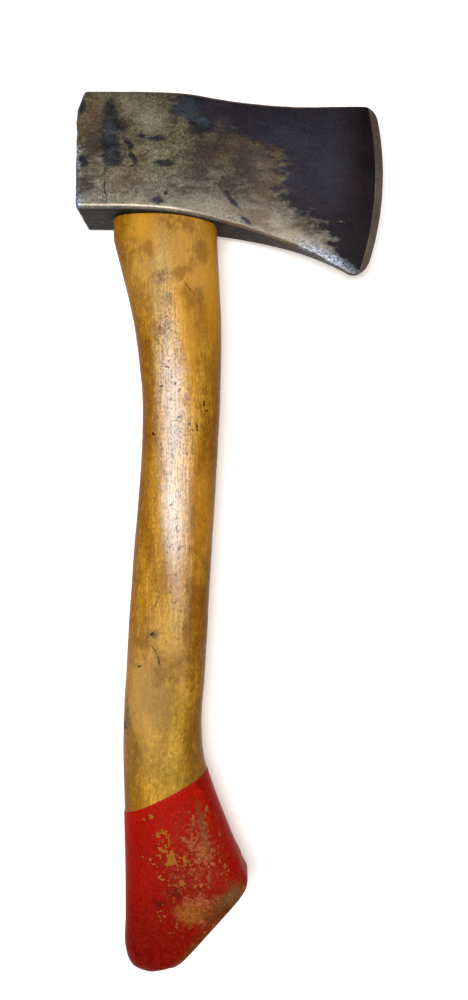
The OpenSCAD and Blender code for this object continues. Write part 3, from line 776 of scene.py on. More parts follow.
def head_ring(x, inset=0.0):
    """One section at x, drawn in by inset: up the near side, over, down and under."""
    hi = top_y(swept_x(x, y_top)) - corner_loss(toe_r, x_edge - x) - inset
    lo = under_y(swept_x(x, y_heel)) + corner_loss(heel_r, x_edge - x) + inset
    z = head_z(x) - inset
    r = min(forged_r, 0.45 * z)
    bulge = crown * math.sin(math.pi * clamp01((x - x_taper) / (x_bevel - x_taper)))
    a = np.linspace(0, np.pi / 2, CORNER_STEPS, endpoint=False)
    k = np.linspace(0, 1, FACE_STEPS + 1)
    lift = z - r + r * np.sin(a)
    y = np.concatenate([lo + r * (1 - np.cos(a)), blend(lo + r, hi - r, k),
                        (hi - r * (1 - np.cos(a)))[::-1]])
    up = np.concatenate([lift, z + bulge * (1 - (2 * k - 1) ** 4), lift[::-1]])
    over = np.linspace(z - r, r - z, EDGE_STEPS + 2)[1:-1]
    y = np.concatenate([y, np.full(EDGE_STEPS, hi), y[::-1], np.full(EDGE_STEPS, lo)])
    up = np.concatenate([up, over, -up[::-1], -over])
    return np.column_stack([swept_x(x, y), y, z_mid + up])


print("under the blade the arc's radius is", round(under_r, 1))

# %% [markdown]
# Years of driving pegs have rounded the poll's top corner and rolled a low burr along
# its rim, so those points move before the skin is made. The skin's last ring closes
# like a zip, near side to far side, into the cutting edge.

# %% Head: points and skin
POLL_WORN_Y = [-24, -8, 2, 12, 15.5, 18, 20.5, 22.5, 23.6]
POLL_WORN_BY = [0, 0, 0.2, 0.4, 0.8, 1.5, 2.5, 3.0, 3.2]
BURR_FROM_Z, BURR_FROM_Y, BURR_RISE = 10.6, 21.2, 1.6  # off the poll's middle, in mm


def worn(points):
    """The poll's rounded corner and its rolled rim."""
    x, y, z = points.T
    near = np.exp(-((x - x_poll) / 6.0) ** 2)
    far_side = blend(0.55, 1.0, z / head_t)
    x = x + np.interp(y, POLL_WORN_Y, POLL_WORN_BY) * near * far_side
    rim = np.exp(-((x - x_poll - 1.2) / 1.3) ** 2) * clamp01(
        np.maximum(abs(z - z_mid) - BURR_FROM_Z, abs(y) - BURR_FROM_Y) / BURR_RISE)
    roll = np.array([noise.fractal((b / 4, c / 4, 1.7), 0.7, 2.0, 3) for b, c in zip(y, z)])
    return np.column_stack([x - rim * np.clip(0.15 + 0.5 * roll, -0.25, 0.45), y, z])


nest = [head_ring(x_poll, inset) for inset in np.linspace(head_t / 2 - 0.3, forged_r,
                                                         NEST_RINGS)]
turn_in = [head_ring(x_poll + forged_r * (1 - math.cos(a)), forged_r * (1 - math.sin(a)))
           for a in np.linspace(0, math.pi / 2, CORNER_STEPS + 1)[1:]]
body = [head_ring(x) for x in np.arange(x_poll + forged_r + SECTION_GAP, x_edge - heel_r,
                                        SECTION_GAP)]
blade = [head_ring(x) for x in np.linspace(x_edge - heel_r, x_bevel, BLADE_RINGS)]
bevel = [head_ring(x_bevel + bevel_w * math.sin(a))
         for a in np.linspace(0, math.pi / 2, BEVEL_RINGS)[1:]]
rings = np.array(nest + turn_in + body + blade + bevel)
ring_count, around = rings.shape[:2]
side = 2 * CORNER_STEPS + FACE_STEPS + 1


def zip_faces(start):
    """Faces that close a ring, from its near side to its far side."""
    far = [2 * side + EDGE_STEPS - 1 - j for j in range(side)]
    over, under = list(range(side, side + EDGE_STEPS)), list(range(far[0] + 1, around))
    faces = [[j, j + 1, far[j + 1], far[j]] for j in range(1, side - 2)]
    faces += [[side - 2, side - 1, *over, far[side - 1], far[side - 2]],
              [far[1], far[0], *under, 0, 1]]
    return [[start + j for j in face] for face in faces]


i, j = np.meshgrid(np.arange(ring_count - 1), np.arange(around), indexing="ij")
here, beside = i * around + j, i * around + (j + 1) % around
faces = np.stack([here, beside, beside + around, here + around], -1).reshape(-1, 4).tolist()
faces += zip_faces(0) + zip_faces((ring_count - 1) * around)
head = new_piece("forged_head", worn(rings.reshape(-1, 3)), faces)
head.data.materials.append(forged_steel)
tidy(head)
report(head)

# %% [markdown]
# The eye is drifted right through while the steel is hot, a little wider at the top so
# that the wedged wood can't pull back out. A ringed cutter takes it away.

# %% Head: eye and weathering
CLEAR = 6  # mm that a cutter reaches past the piece


def eye_row(y, gap=0.0):
    """A row of the eye at the height y, drawn in by a gap for the tongue that fills it."""
    wider = eye_flare / 2 * (y - y_under) / poll_h
    return [0, y, eye_l / 2 + wider - gap, 0, eye_w / 2 + wider - gap, eye_square]


def closed(rows):
    """The same rows, with an end of no size at each end."""
    first, last = list(rows[0]), list(rows[-1])
    first[2:5] = last[2:5] = [0, 0, 0]
    return [first, *rows, last]


drift = ringed("drift", closed([eye_row(y_top + CLEAR), eye_row(y_under - CLEAR)]),
               EYE_POINTS, None)
cut_away(head, drift)
shape_with(head, weather_tree, {
    "Swell size": 17 * MM, "Swell depth": 0.2 * MM, "Pit size": 2.6 * MM,
    "Pit depth": 0.1 * MM, "Pit share": 0.27, "True below": EVERYWHERE, "Seed": 3.0,
    "Finish": forged_steel})
tidy(head)
report(head)

# %% Head: the bevel takes the ground finish
head.data.materials.append(ground_steel)
centres = np.array([p.center for p in head.data.polygons]) / MM
section = centres[:, 0].copy()
for _ in range(12):  # each pass comes nearer to the section that a face lies on
    section = centres[:, 0] + section - swept_x(section, centres[:, 1])
on_bevel = (section > x_bevel - 0.05).astype(int)
head.data.polygons.foreach_set("material_index", on_bevel)
head.data.update()
print("faces on the bevel:", int(on_bevel.sum()))

# %% [markdown]
# ## Finish: varnished hickory
# Handles are split or sawn so that the grain runs the whole length. The wood is ring
# porous, so its long faces show fine broken lines, and its sawn ends show pores and
# rings. With age the varnish has gone golden amber, and dirt sits in every nick. Hands
# have polished the middle of the upper face, and along it lies a paler greyish tan that
# is partly that wear and partly painted highlight, with a whiter painted highlight and a
# bluish-white painted glint inside it. The sides are darker, partly as deeper varnish and
# partly as painted shade, and a long brown streak down the right side is painted shade.
# Only the polished part keeps a gloss, which has crazing along the grain, and there the
# colour is lightened and speckled, partly as that crazing and partly as painted sparkle.
# Fine grain is a few tenths of a millimetre wide, drawn here at 0.7 so that it shows, and
# the pores at 0.55.

# %% Hickory: colour along the grain
hickory, tree, place = finish_tree("VarnishedHickory")
x_y_z = add(tree, "ShaderNodeSeparateXYZ", {0: place}).node.outputs
upper = add(tree, "ShaderNodeMapRange", {"Value": x_y_z["Z"], "From Min": 13 * MM,
                                         "From Max": 16 * MM})
broad = add(tree, "ShaderNodeMapping", {"Vector": place, "Scale": (1.0, 0.35, 1.0)})
broad = add(tree, "ShaderNodeTexNoise", {"Vector": broad, "Scale": 1 / (14 * MM),
                                         "Detail": 5.0, "Roughness": 0.55})
tone_ramp = add(tree, "ShaderNodeValToRGB", {"Fac": broad}).node
set_stops(tone_ramp, [(0.32, "80520c"), (0.44, "a87414"), (0.54, "c48e26"), (0.66, "d4a238")])
colour = tone_ramp.outputs["Color"]
lines = add(tree, "ShaderNodeMapping", {"Vector": place, "Scale": (1.0, 0.045, 1.0)})
lines = add(tree, "ShaderNodeTexNoise", {"Vector": lines, "Scale": 1 / (0.7 * MM),
                                         "Detail": 3.0, "Roughness": 0.6})
mottle = add(tree, "ShaderNodeMapping", {"Vector": place, "Scale": (1.0, 0.75, 1.0)})
mottle = add(tree, "ShaderNodeTexNoise", {"Vector": mottle, "Scale": 1 / (2.2 * MM),
                                          "Detail": 7.0, "Roughness": 0.75})
facing = add(tree, "ShaderNodeNewGeometry").node.outputs["Normal"]
facing = add(tree, "ShaderNodeSeparateXYZ", {0: facing}).node.outputs
# The sides are mixed towards a deeper amber, partly as varnish that kept its colour there and
# partly as painted shade where they face away from the lamps.
turned = add(tree, "ShaderNodeMath", {0: facing["X"]}, operation="ABSOLUTE")
turned = add(tree, "ShaderNodeMapRange", {"Value": turned, "From Min": 0.2, "From Max": 0.8,
                                          "To Max": 0.8})
colour = add(tree, "ShaderNodeMix", {"Factor": turned, "A": colour, "B": linear("8a5508")},
             data_type="RGBA")
pores = add(tree, "ShaderNodeMapping", {"Vector": place, "Scale": (1.0, 0.45, 1.0)})
pores = add(tree, "ShaderNodeTexNoise", {"Vector": pores, "Scale": 1 / (0.55 * MM),
                                         "Detail": 2.0})
for pattern, low, high in ((lines, 0.76, 1.22), (mottle, 0.74, 1.24), (pores, 0.7, 1.28)):
    colour = toned(tree, colour, pattern, low, high)
print("grain lines every 0.7 mm")

# %% Hickory: worn middle with painted highlight, specks and placed marks
ragged = add(tree, "ShaderNodeTexNoise", {"Vector": place, "Scale": 1 / (3 * MM),
                                          "Detail": 4.0})
ragged = pushed_about(tree, place, ragged, 3.5 * MM)
# Colour zones. The third, a pale greyish tan down the middle, is partly hand wear and partly
# painted highlight, the fourth is a whiter painted highlight, and the fifth a bluish-white
# painted glint.
for marks, soft, hard, most, tone in (
        ([(3, -44, 17, 20, 0), (-5, -216, 12, 30, -8)], 1.3, 0.4, 0.55, "d2a65e"),
        ([(9, -72, 6, 40, 0), (8.5, -150, 4, 26, -3), (-8, -30, 6, 10, 0),
          (20, -50, 5, 24, 0), (15, -146, 4.5, 24, -3)], 1.4, 0.3, 0.6, "da982c"),
        ([(3.2, -122, 6.4, 84, 3)], 1.2, 0.3, 0.5, "ccac92"),
        ([(3.2, -96, 5, 26, 2), (3.4, -146, 4, 18, 3)], 1.3, 0.3, 0.5, "d8cac2"),
        ([(4.2, -114, 2.4, 7, 4)], 1.3, 0.2, 0.4, "bcbcc0")):
    near = nearest_mark(tree, ragged, marks)
    colour = marked(tree, colour, near, (soft, hard, most), upper, tone)
specks = add(tree, "ShaderNodeTexNoise", {"Vector": place, "Scale": 1 / (2.1 * MM),
                                          "Detail": 4.0, "Roughness": 0.65})
busy = nearest_mark(tree, ragged, [(2, -105, 11, 66, 3), (3, -170, 9, 40, 0)])
busy = add(tree, "ShaderNodeMapRange", {"Value": busy, "From Min": 1.2, "From Max": 0.6,
                                        "To Min": 0.3, "To Max": 0.375})
busy_rim = add(tree, "ShaderNodeMath", {0: busy, 1: 0.05}, operation="SUBTRACT")
speck_amount = add(tree, "ShaderNodeMapRange", {"Value": specks, "From Min": busy,
                                                "From Max": busy_rim, "To Max": 0.7})
colour = add(tree, "ShaderNodeMix", {"Factor": speck_amount, "A": colour,
                                     "B": linear("4a3420")}, data_type="RGBA")
# Brown marks. The first two marks are a long streak of painted shade down the right side of the
# grip.
BROWN_MARKS_AND_SIDE_SHADE = [(12.4, -186, 2.6, 40, -2.5), (11.2, -234, 2.6, 20, 4), (-14, -236, 3, 10, 0),
           (14, -40, 3, 5, 0), (-8, -62, 3, 8, 12), (-8.4, -88, 2.2, 14, 0),
           (9, -98, 2.2, 4, 0), (-12, -170, 2, 10, 5), (-8, -38, 4, 4, 0),
           (5, -28, 6, 2.5, 0), (15.2, -100, 2, 16, 0), (5, -48, 5, 2.5, 30),
           (-2, -70, 3, 5, 20), (11, -58, 3, 4, 0), (1, -206, 5, 6, 0), (-8, -196, 3, 3, 0),
           (-9.8, -204, 2.2, 2.4, 0), (-8, -101, 3.2, 14, 0)]
GRIMY = [(2, -247, 14, 14, 20), (3, -226, 7, 12, 0)]
SMUDGES = [(-1.4, -49.8, 2.4, 3.0, -10), (1.8, -58, 2.0, 2.2, 0), (-3.6, -192.6, 2.4, 1.5, 0),
           (-2.8, -180.6, 0.8, 2.6, -15), (-15.2, -226, 1.0, 6, 0)]
DARK_MARKS = [(-4.2, -112.6, 0.75, 0.6, 0), (-4.6, -192.8, 0.9, 0.5, 20),
              (-3.6, -199, 0.3, 2.0, 35), (-1.9, -203, 0.25, 2.2, 15),
              (-16.6, -230.8, 1.2, 1.8, 0), (1.4, -86, 0.35, 1.4, 80),
              (3.2, -89.4, 0.35, 1.2, 5), (-0.8, -93.5, 0.8, 0.5, 0),
              (4.6, -92.6, 0.9, 0.8, 0), (6.4, -95.4, 1.1, 0.4, 60),
              (2.4, -83.4, 0.8, 0.3, 10), (13.4, -110, 0.5, 2.2, 8),
              (6.0, -106, 0.9, 0.4, 30), (-9.9, -206.0, 0.8, 0.4, 30),
              (9.6, -53.5, 0.15, 2.2, 35), (12, -56, 0.12, 1.5, 40),
              (-2, -76, 0.15, 4.6, 39), (16.2, -100.5, 0.4, 1.5, 0),
              (17.2, -103.2, 0.9, 0.35, 0), (5, -107.4, 1.8, 0.2, -4),
              (10.4, -108.8, 0.6, 0.5, 0), (11.5, -111, 0.3, 0.8, 30),
              (3.4, -121.5, 0.3, 1.3, 20), (6.5, -158, 0.3, 1.4, -20)]
crooked = pushed_about(tree, place, pores, 1.6 * MM)
blots = add(tree, "ShaderNodeMath", {0: mottle, 1: broad}, operation="ADD")
blots = add(tree, "ShaderNodeMath", {0: blots, 1: 1.0}, operation="SUBTRACT")
cloudy = add(tree, "ShaderNodeMapping", {"Vector": place, "Scale": (1.0, 0.6, 1.0)})
cloudy = add(tree, "ShaderNodeTexNoise", {"Vector": cloudy, "Scale": 1 / (5 * MM),
                                          "Detail": 6.0, "Roughness": 0.62})
cloudy = pushed_about(tree, place, cloudy, 20 * MM)
for marks, soft, hard, most, dark in ((GRIMY, 1.4, 0.4, 0.45, "82682e"),
                                      (BROWN_MARKS_AND_SIDE_SHADE, 1.5, 0.4, 0.52, "744506"),
                                      (SMUDGES, 1.6, 0.3, 0.7, "4a4034"),
                                      (DARK_MARKS, 1.15, 0.8, 0.9, "1f120a")):
    bent = {1.5: cloudy, 1.15: crooked}.get(soft, ragged)
    near = nearest_mark(tree, bent, marks)
    near = add(tree, "ShaderNodeMath", {0: blots, 1: 4.5 * (soft - 0.9), 2: near},
               operation="MULTIPLY_ADD")
    colour = marked(tree, colour, near, (soft, hard, most), upper, dark)
print("placed marks:", sum(map(len, (GRIMY, BROWN_MARKS_AND_SIDE_SHADE, SMUDGES, DARK_MARKS))))

# %% Hickory: sawn ends, wood under the chips, and the shader
end_on = add(tree, "ShaderNodeMapRange", {"Value": facing["Y"], "From Min": 0.8,
                                          "From Max": 0.95})
growth = add(tree, "ShaderNodeTexWave", {"Vector": place, "Scale": 1 / (2.6 * MM * 3.14),
                                         "Distortion": 1.2, "Detail": 2.0,
                                         "Detail Scale": 40.0},
             wave_type="BANDS", bands_direction="DIAGONAL").node.outputs["Fac"]
vessels = add(tree, "ShaderNodeTexVoronoi", {"Vector": place, "Scale": 1 / (0.8 * MM)})
vessels = add(tree, "ShaderNodeMapRange", {"Value": vessels, "From Min": 0.12,
                                           "From Max": 0.3, "To Min": 0.45, "To Max": 1.0})
end_colour = add(tree, "ShaderNodeMix", {"Factor": growth, "A": linear("6d4a26"),
                                         "B": linear("a3794a")}, data_type="RGBA")
end_colour = add(tree, "ShaderNodeVectorMath", {0: end_colour, "Scale": vessels},
                 operation="SCALE")
colour = add(tree, "ShaderNodeMix", {"Factor": end_on, "A": colour, "B": end_colour},
             data_type="RGBA")
paint_slope = (paint_front - paint_back) / (heel_x + 0.9 + 0.5 * tip_x)
paint_level = y_end + paint_back + paint_slope * (heel_x + 0.9)
below_line = add(tree, "ShaderNodeVectorMath", {0: place, 1: (paint_slope, -1.0, 0.0)},
                 operation="DOT_PRODUCT").node.outputs["Value"]
dipped = add(tree, "ShaderNodeMapRange", {"Value": below_line,
                                          "From Min": (-paint_level + 0.4) * MM,
                                          "From Max": (-paint_level + 1.0) * MM})
dirt = add(tree, "ShaderNodeMix", {"Factor": mottle, "A": linear("7e4814"),
                                   "B": linear("c07628")}, data_type="RGBA")
colour = add(tree, "ShaderNodeMix", {"Factor": dipped, "A": colour, "B": dirt},
             data_type="RGBA")
held = nearest_mark(tree, ragged, [(4.4, -112, 8, 78, 3)])
polish = add(tree, "ShaderNodeMapRange", {"Value": held, "From Min": 1.1, "From Max": 0.5,
                                          "To Min": 0.03, "To Max": 1.0})
# In the polished middle the colour is lightened a little and speckled along the grain, partly
# as crazing of the varnish and partly as painted sparkle of the highlight.
crazing_and_sparkle = add(tree, "ShaderNodeMath", {0: lines, 1: pores}, operation="ADD")
crazing_and_sparkle = add(tree, "ShaderNodeMapRange", {"Value": crazing_and_sparkle, "From Min": 0.75,
                                          "From Max": 1.15, "To Min": 0.56, "To Max": 1.36})
crazing_and_sparkle = add(tree, "ShaderNodeVectorMath", {0: colour, "Scale": crazing_and_sparkle}, operation="SCALE")
colour = add(tree, "ShaderNodeMix", {"Factor": polish, "A": colour, "B": crazing_and_sparkle},
             data_type="RGBA")
rough = add(tree, "ShaderNodeMapRange", {"Value": mottle, "From Min": 0.3, "From Max": 0.7,
                                         "To Min": 0.3, "To Max": 0.52})
relief = add(tree, "ShaderNodeMath", {0: lines, 1: 0.8, 2: mottle}, operation="MULTIPLY_ADD")
for pattern, share in ((pores, 0.6), (speck_amount, -0.8)):
    relief = add(tree, "ShaderNodeMath", {0: pattern, 1: share, 2: relief},
                 operation="MULTIPLY_ADD")
bumps = add(tree, "ShaderNodeBump", {"Height": relief, "Strength": 0.7,
                                     "Distance": 0.25 * MM})
surface = add(tree, "ShaderNodeBsdfPrincipled",
              {"Base Color": colour, "Roughness": rough, "IOR": 1.5,
               "Specular IOR Level": 0.08, "Coat Weight": polish, "Coat Roughness": 0.22,
               "Coat IOR": 1.62, "Normal": bumps, "Coat Normal": bumps})
add(tree, "ShaderNodeOutputMaterial", {"Surface": surface})
print("hickory:", len(tree.nodes), "nodes")

# %% [markdown]
# ## The handle's stations
# Its outline is two rails, back and front, with a thickness and a squareness. Between
# stations a smooth curve runs through all six numbers. At the foot the rails part: the
# back goes round the heel and along the sole while the front rounds the tip, so the
# sections fan round until the last one is the slanting saw cut, whose rim is rounded.

# %% Handle: stations
neck_low = [-neck_w / 2, y_under - neck_l, neck_w / 2, y_under - neck_l, neck_t, neck_square]
neck_top = [-neck_w / 2, y_under - shoulder_fit, neck_w / 2, y_under - shoulder_fit, neck_t,
            neck_square]
hip_y = y_under - 0.55 * throat_at
hip = [-0.3 * neck_w, hip_y, 0.54 * neck_w, hip_y, blend(neck_t, throat_t, 0.6), grip_square]
throat = [throat_x - throat_w / 2, y_under - throat_at, throat_x + throat_w / 2,
          y_under - throat_at, throat_t, grip_square]
grip = [-grip_x - grip_w / 2, y_end + grip_at, -grip_x + grip_w / 2, y_end + grip_at,
        grip_t, grip_square]
waist = [blend(a, b, 0.5) for a, b in zip(throat, grip)]
flare = [-heel_x - 1.6, y_end + 1.5 * paint_back, 0.44 * tip_x, y_end + 1.22 * paint_front,
         blend(grip_t, foot_t, 0.1), grip_square]
paint_line = [-heel_x - 0.9, y_end + paint_back, 0.5 * tip_x, y_end + paint_front,
              blend(grip_t, foot_t, 0.4), grip_square]
calf = [-heel_x - 0.2, y_end + 0.6 * paint_back, 0.8 * tip_x, y_end + tip_h + 17,
        blend(grip_t, foot_t, 0.8), foot_square]
sole = -heel_x + foot_r
foot_back = [(-heel_x, 2.3 * foot_r), (-heel_x, 1.1 * foot_r),
             (-heel_x + 0.3 * foot_r, 0.3 * foot_r), (sole, 0), (sole + 0.42 * sole_w, 0.5),
             (sole + 0.76 * sole_w, 1.6), (sole + sole_w, 2.4)]
foot_front = [(-3.2, 9), (-2.4, 6.3), (-1.55, 4.6), (-1.05, 3.5), (-0.7, 2.7), (-0.4, 2),
              (0, 0)]  # from the tip
foot_shape = [(1, 3.3), (0.99, 3.8), (0.97, 4.1), (0.96, 4.3), (0.96, 4.5), (0.95, 4.8),
              (0.95, 5.5)]  # share of the thickness, and squareness
foot = [[bx, y_end + by, tip_x + fx, y_end + tip_h + fy, foot_t * thin, square]
        for (bx, by), (fx, fy), (thin, square) in zip(foot_back, foot_front, foot_shape)]
stations = np.array([neck_low, hip, throat, waist, grip, flare, paint_line, calf, *foot])
PAINT_INDEX = 6  # of paint_line, where the coat starts
HANDLE_ROW_GAP, COAT_ROW_GAP = 1.1, 0.58  # mm
RIM_ROWS, COAT_SOLE_ROWS = 7, 24
middles = (stations[:, :2] + stations[:, 2:4]) / 2
gaps = np.linalg.norm(np.diff(middles, axis=0), axis=1)
station_at = np.concatenate([[0], np.cumsum(gaps)])
last = len(stations) - 1
before = np.maximum(np.arange(last + 1) - 1, 0)
after = np.minimum(np.arange(last + 1) + 1, last)
rates = (stations[after] - stations[before]) / (station_at[after] - station_at[before])[:, None]


def between(i, t):
    """Station part of the way, 0 to 1, from station i to the next, on a smooth curve."""
    run = station_at[i + 1] - station_at[i]
    return (stations[i] * (1 + 2 * t) * (1 - t) ** 2
            + stations[i + 1] * t * t * (3 - 2 * t)
            + rates[i] * run * t * (1 - t) ** 2 - rates[i + 1] * run * t * t * (1 - t))


def row_of(station, grow=0.0, shift=0.0):
    """A station as a row for a ring, grown outward, and moved down the handle."""
    s = np.asarray(station, float)
    half = (s[2:4] - s[:2]) / 2
    along = half / np.linalg.norm(half)
    centre = (s[:2] + s[2:4]) / 2 + np.array([along[1], -along[0]]) * shift
    return [*centre, *(half + along * grow), s[4] / 2 + grow, s[5]]


def rows_from(first, grow, step):
    """Rows from a station to the slanting cut, about a step apart, with a rounded rim."""
    rows = []
    for i in range(first, last - 1):
        widest = max(np.linalg.norm(stations[i + 1][:2] - stations[i][:2]),
                     np.linalg.norm(stations[i + 1][2:4] - stations[i][2:4]))
        count = max(3, math.ceil(widest / step))
        rows += [row_of(between(i, k / count), grow) for k in range(count)]
    rows += [row_of(blend(stations[-2], stations[-1], math.sin(a)),
                    grow - (cut_r + grow) * (1 - math.cos(a)), grow * math.sin(a))
             for a in np.linspace(0, math.pi / 2, RIM_ROWS)]
    return rows


def shrinking(row, steps):
    """Rows that close a flat end, from the given row to no size."""
    return [[*row[:2], *(np.array(row[2:5]) * share), row[5]]
            for share in np.linspace(1, 0, steps + 1)[1:]]


print("stations:", len(stations), "over", round(station_at[-1]), "mm")

# %% [markdown]
# The head slides on from the top and jams on the shoulder. The tongue is sawn off just
# proud of the steel, and the kerf and the slots are cut for the wedges.

# %% Handle: skin, slots and weathering
top_row, tongue_low = eye_row(y_top + proud, eye_fit), eye_row(y_under - shoulder_fit, eye_fit)
round_r = min(shoulder_r, 0.8 * shoulder_w, 0.8 * shoulder_t)
TOP_ROWS, TONGUE_ROWS, SHOULDER_ROWS, NECK_ROWS, SOLE_ROWS = 12, 40, 6, 8, 10
rows = shrinking(top_row, TOP_ROWS)[::-1]
rows += [[blend(a, b, k / TONGUE_ROWS) for a, b in zip(top_row, tongue_low)]
         for k in range(TONGUE_ROWS + 1)]
rows += [row_of(neck_top, round_r * (math.sin(a) - 1), round_r * (1 - math.cos(a)))
         for a in np.linspace(0, math.pi / 2, SHOULDER_ROWS)]
rows += [row_of([blend(a, b, k / NECK_ROWS) for a, b in zip(neck_top, neck_low)])
         for k in range(2, NECK_ROWS)]
rows += rows_from(0, 0, HANDLE_ROW_GAP)
rows += shrinking(rows[-1], SOLE_ROWS)
handle = ringed("hickory_handle", rows, HANDLE_POINTS, hickory)


def wedge_rows(centre_x, top, tip, depth, width, gap, above, along_x):
    """Rows of a tapered wedge or its slot. Its taper is along X, or else across it."""
    ends = []
    for y, thick in ((above, top + (top - tip) * above / depth), (-depth - gap, tip)):
        half = thick / 2 + gap
        if along_x:
            ends.append([centre_x, y_top + proud + y, half, 0, width / 2 + gap, slot_square])
        else:
            ends.append([centre_x, y_top + proud + y, width / 2 + gap, 0, half, slot_square])
    return ends


def steel_slots(gap):
    """Cutters for the two steel wedges' slots, with a gap all round each wedge."""
    return [ringed("steel_slot", closed(wedge_rows(
        way * steel_wedge_gap / 2, steel_wedge_t, steel_wedge_tip, steel_wedge_d,
        steel_wedge_w, gap, CLEAR, True)), SLOT_POINTS, None) for way in (-1, 1)]


slots = [ringed("wood_slot", closed(wedge_rows(
    0, wood_wedge_t, wood_wedge_tip, wood_wedge_d, neck_w, wedge_fit, CLEAR, False)),
    SLOT_POINTS, None)]
kerf_bottom = y_top + proud - wood_wedge_d - kerf_below
slots.append(ringed("kerf", closed([
    [0, y, neck_w / 2, 0, wood_wedge_tip / 2, slot_square] for y in (y_top, kerf_bottom)]),
    SLOT_POINTS, None))
slots += steel_slots(wedge_fit)
cut_away(handle, *slots)
shape_with(handle, weather_tree, {
    "Swell size": 26 * MM, "Swell depth": 0.3 * MM, "Pit size": 4.5 * MM,
    "Pit depth": 0.14 * MM, "Pit share": 0.3, "True below": -246 * MM, "Seed": 11.0,
    "Finish": hickory})
tidy(handle)
report(handle)

# %% [markdown]
# ## The coat of red enamel
# The foot was dipped, so the coat is a thin shell that starts at a slanting line and
# wraps the whole foot. Enamel that is knocked doesn't wear smooth: it lets go in
# flakes, and bare wood shows. So the chips are real holes. Every corner of a fine grid
# gets a number that says how chipped it is, each square of the grid is clipped where
# that number passes zero, and the clipped edges get walls as high as the coat.

# %% Enamel: where it has chipped
CHIPS = [(3.3, -281.5, 2.2, 2.9), (-4.8, -265.1, 1.1, 1.5), (-7.9, -266.8, 0.5, 0.6),
         (0.6, -278.6, 1.5, 0.9), (8.6, -282.6, 1.0, 1.8), (-8.2, -281.6, 0.6, 0.6),
         (-5.2, -282.1, 0.7, 0.5), (7.6, -291.6, 1.4, 1.1), (12.6, -292.6, 1.0, 1.0),
         (-0.6, -302.2, 1.1, 0.7), (0.6, -304.4, 0.6, 1.1), (24.6, -285.4, 0.7, 2.0),
         (22.6, -283.6, 0.6, 1.4), (17.4, -263.4, 0.9, 1.2), (-6.2, -258.4, 0.5, 0.4)]
PEPPERED = [(-0.5, -273.5, 6, 7, 0.88), (1.5, -283, 9, 18, 0.82), (14, -281, 10, 18, 0.7),
            (-0.5, -303, 4, 6, 0.72), (24.5, -286, 4, 8, 0.74), (11.6, -303.7, 7, 5, 0.8),
            (17, -266, 3, 8, 0.7), (6, -311, 10, 6, 0.66), (22, -298, 8, 6, 0.72)]
RUBBED = [(15, -279, 11, 22, 12, 0.75), (8, -290, 10, 15, 0, 0.55), (14, -301, 14, 10, 0, 0.85)]
CUT_ALONG = np.array([tip_x, y_end + tip_h]) - np.array([sole + sole_w, y_end + 2.4])
CUT_OUT = np.array([CUT_ALONG[1], -CUT_ALONG[0]]) / np.linalg.norm(CUT_ALONG)
BLOT, FLAKE = 3.2, 0.9  # mm across: where flakes let go together, and one flake


def within(x, y, at_x, at_y, half_x, half_y, degrees=0.0):
    """How far inside an ellipse a point is: 1 at its middle, 0 at its rim."""
    turn = math.radians(degrees)
    dx, dy = x - at_x, y - at_y
    return 1 - math.hypot((dx * math.cos(turn) + dy * math.sin(turn)) / half_x,
                          (dy * math.cos(turn) - dx * math.sin(turn)) / half_y)


def chipped(x, y, z):
    """How chipped the coat is at a point: above zero it is gone. Also how rubbed it is."""
    upper = clamp01((z - 14) / 6)
    coarse = noise.fractal((x / BLOT, y / BLOT, z / BLOT + 40), 0.6, 2.0, 5)
    fine = noise.fractal((x / FLAKE, y / FLAKE, z / FLAKE + 7), 0.6, 2.0, 3)
    placed = max(within(x, y, *chip) for chip in CHIPS)
    pepper = max(k * clamp01(2 * within(x, y, *zone)) for *zone, k in PEPPERED)
    rubbed = max(k * max(0, within(x, y, *zone)) ** 0.6 for *zone, k in RUBBED) * upper
    below = (1 - upper) * max(0, within(x, y, 10, -300, 26, 26) - 0.5)
    to_cut = CUT_OUT @ np.array([x - tip_x, y - y_end - tip_h])
    cut = math.exp(-abs(to_cut) / 2.2)
    knocked = min(1.0, placed) + 0.5 * coarse + 0.35 * fine - 0.1
    flaked = pepper * upper + 0.25 * cut + 0.9 * below + 0.35 * coarse + 0.8 * fine - 1.02
    return (max(flaked, knocked * upper - (1 - upper)),
            max(rubbed, 1.4 * below, cut * blend(0.5, 1, upper)))


AROUND = 226
angles = np.linspace(0, 2 * np.pi, AROUND, endpoint=False)
wave = np.column_stack([np.cos(angles), np.sin(angles)])


def coat_points(grow):
    """Grid of points round the foot, grown outward: [row, point, xyz]."""
    rows = np.array(rows_from(PAINT_INDEX, grow, COAT_ROW_GAP))
    rows = np.concatenate([rows, np.array(shrinking(list(rows[-1]), COAT_SOLE_ROWS))])
    square = rows[:, 5][:, None, None]
    u = wave * (np.abs(wave) ** square).sum(-1, keepdims=True) ** (-1 / square)
    x = rows[:, None, 0] + rows[:, None, 2] * u[:, :, 0]
    y = rows[:, None, 1] + rows[:, None, 3] * u[:, :, 0]
    return np.stack([x, y, z_mid + rows[:, None, 4] * u[:, :, 1]], -1)


inner, outer = coat_points(coat_fit), coat_points(coat_fit + coat_t)
row_count = len(inner)
state = np.array([[chipped(*p) for p in ring] for ring in outer])
hole, scuff = state[..., 0], state[..., 1]
# The coat thins to its line over the first two rows, and lies thickest away from chips.
depth = np.clip(0.45 + 0.28 * np.arange(row_count), 0, 1)
depth = depth[:, None] * (1 + 0.12 * np.clip(-hole, 0, 0.5))
outer = inner + (outer - inner) * depth[..., None]
print("coat grid:", row_count, "x", AROUND, "and", round(float((hole > 0).mean()) * 100, 1),
      "% chipped")

# %% Enamel: clip the grid and build the shell
points, scuffs, faces, known, first_row = [], [], [], {}, set()


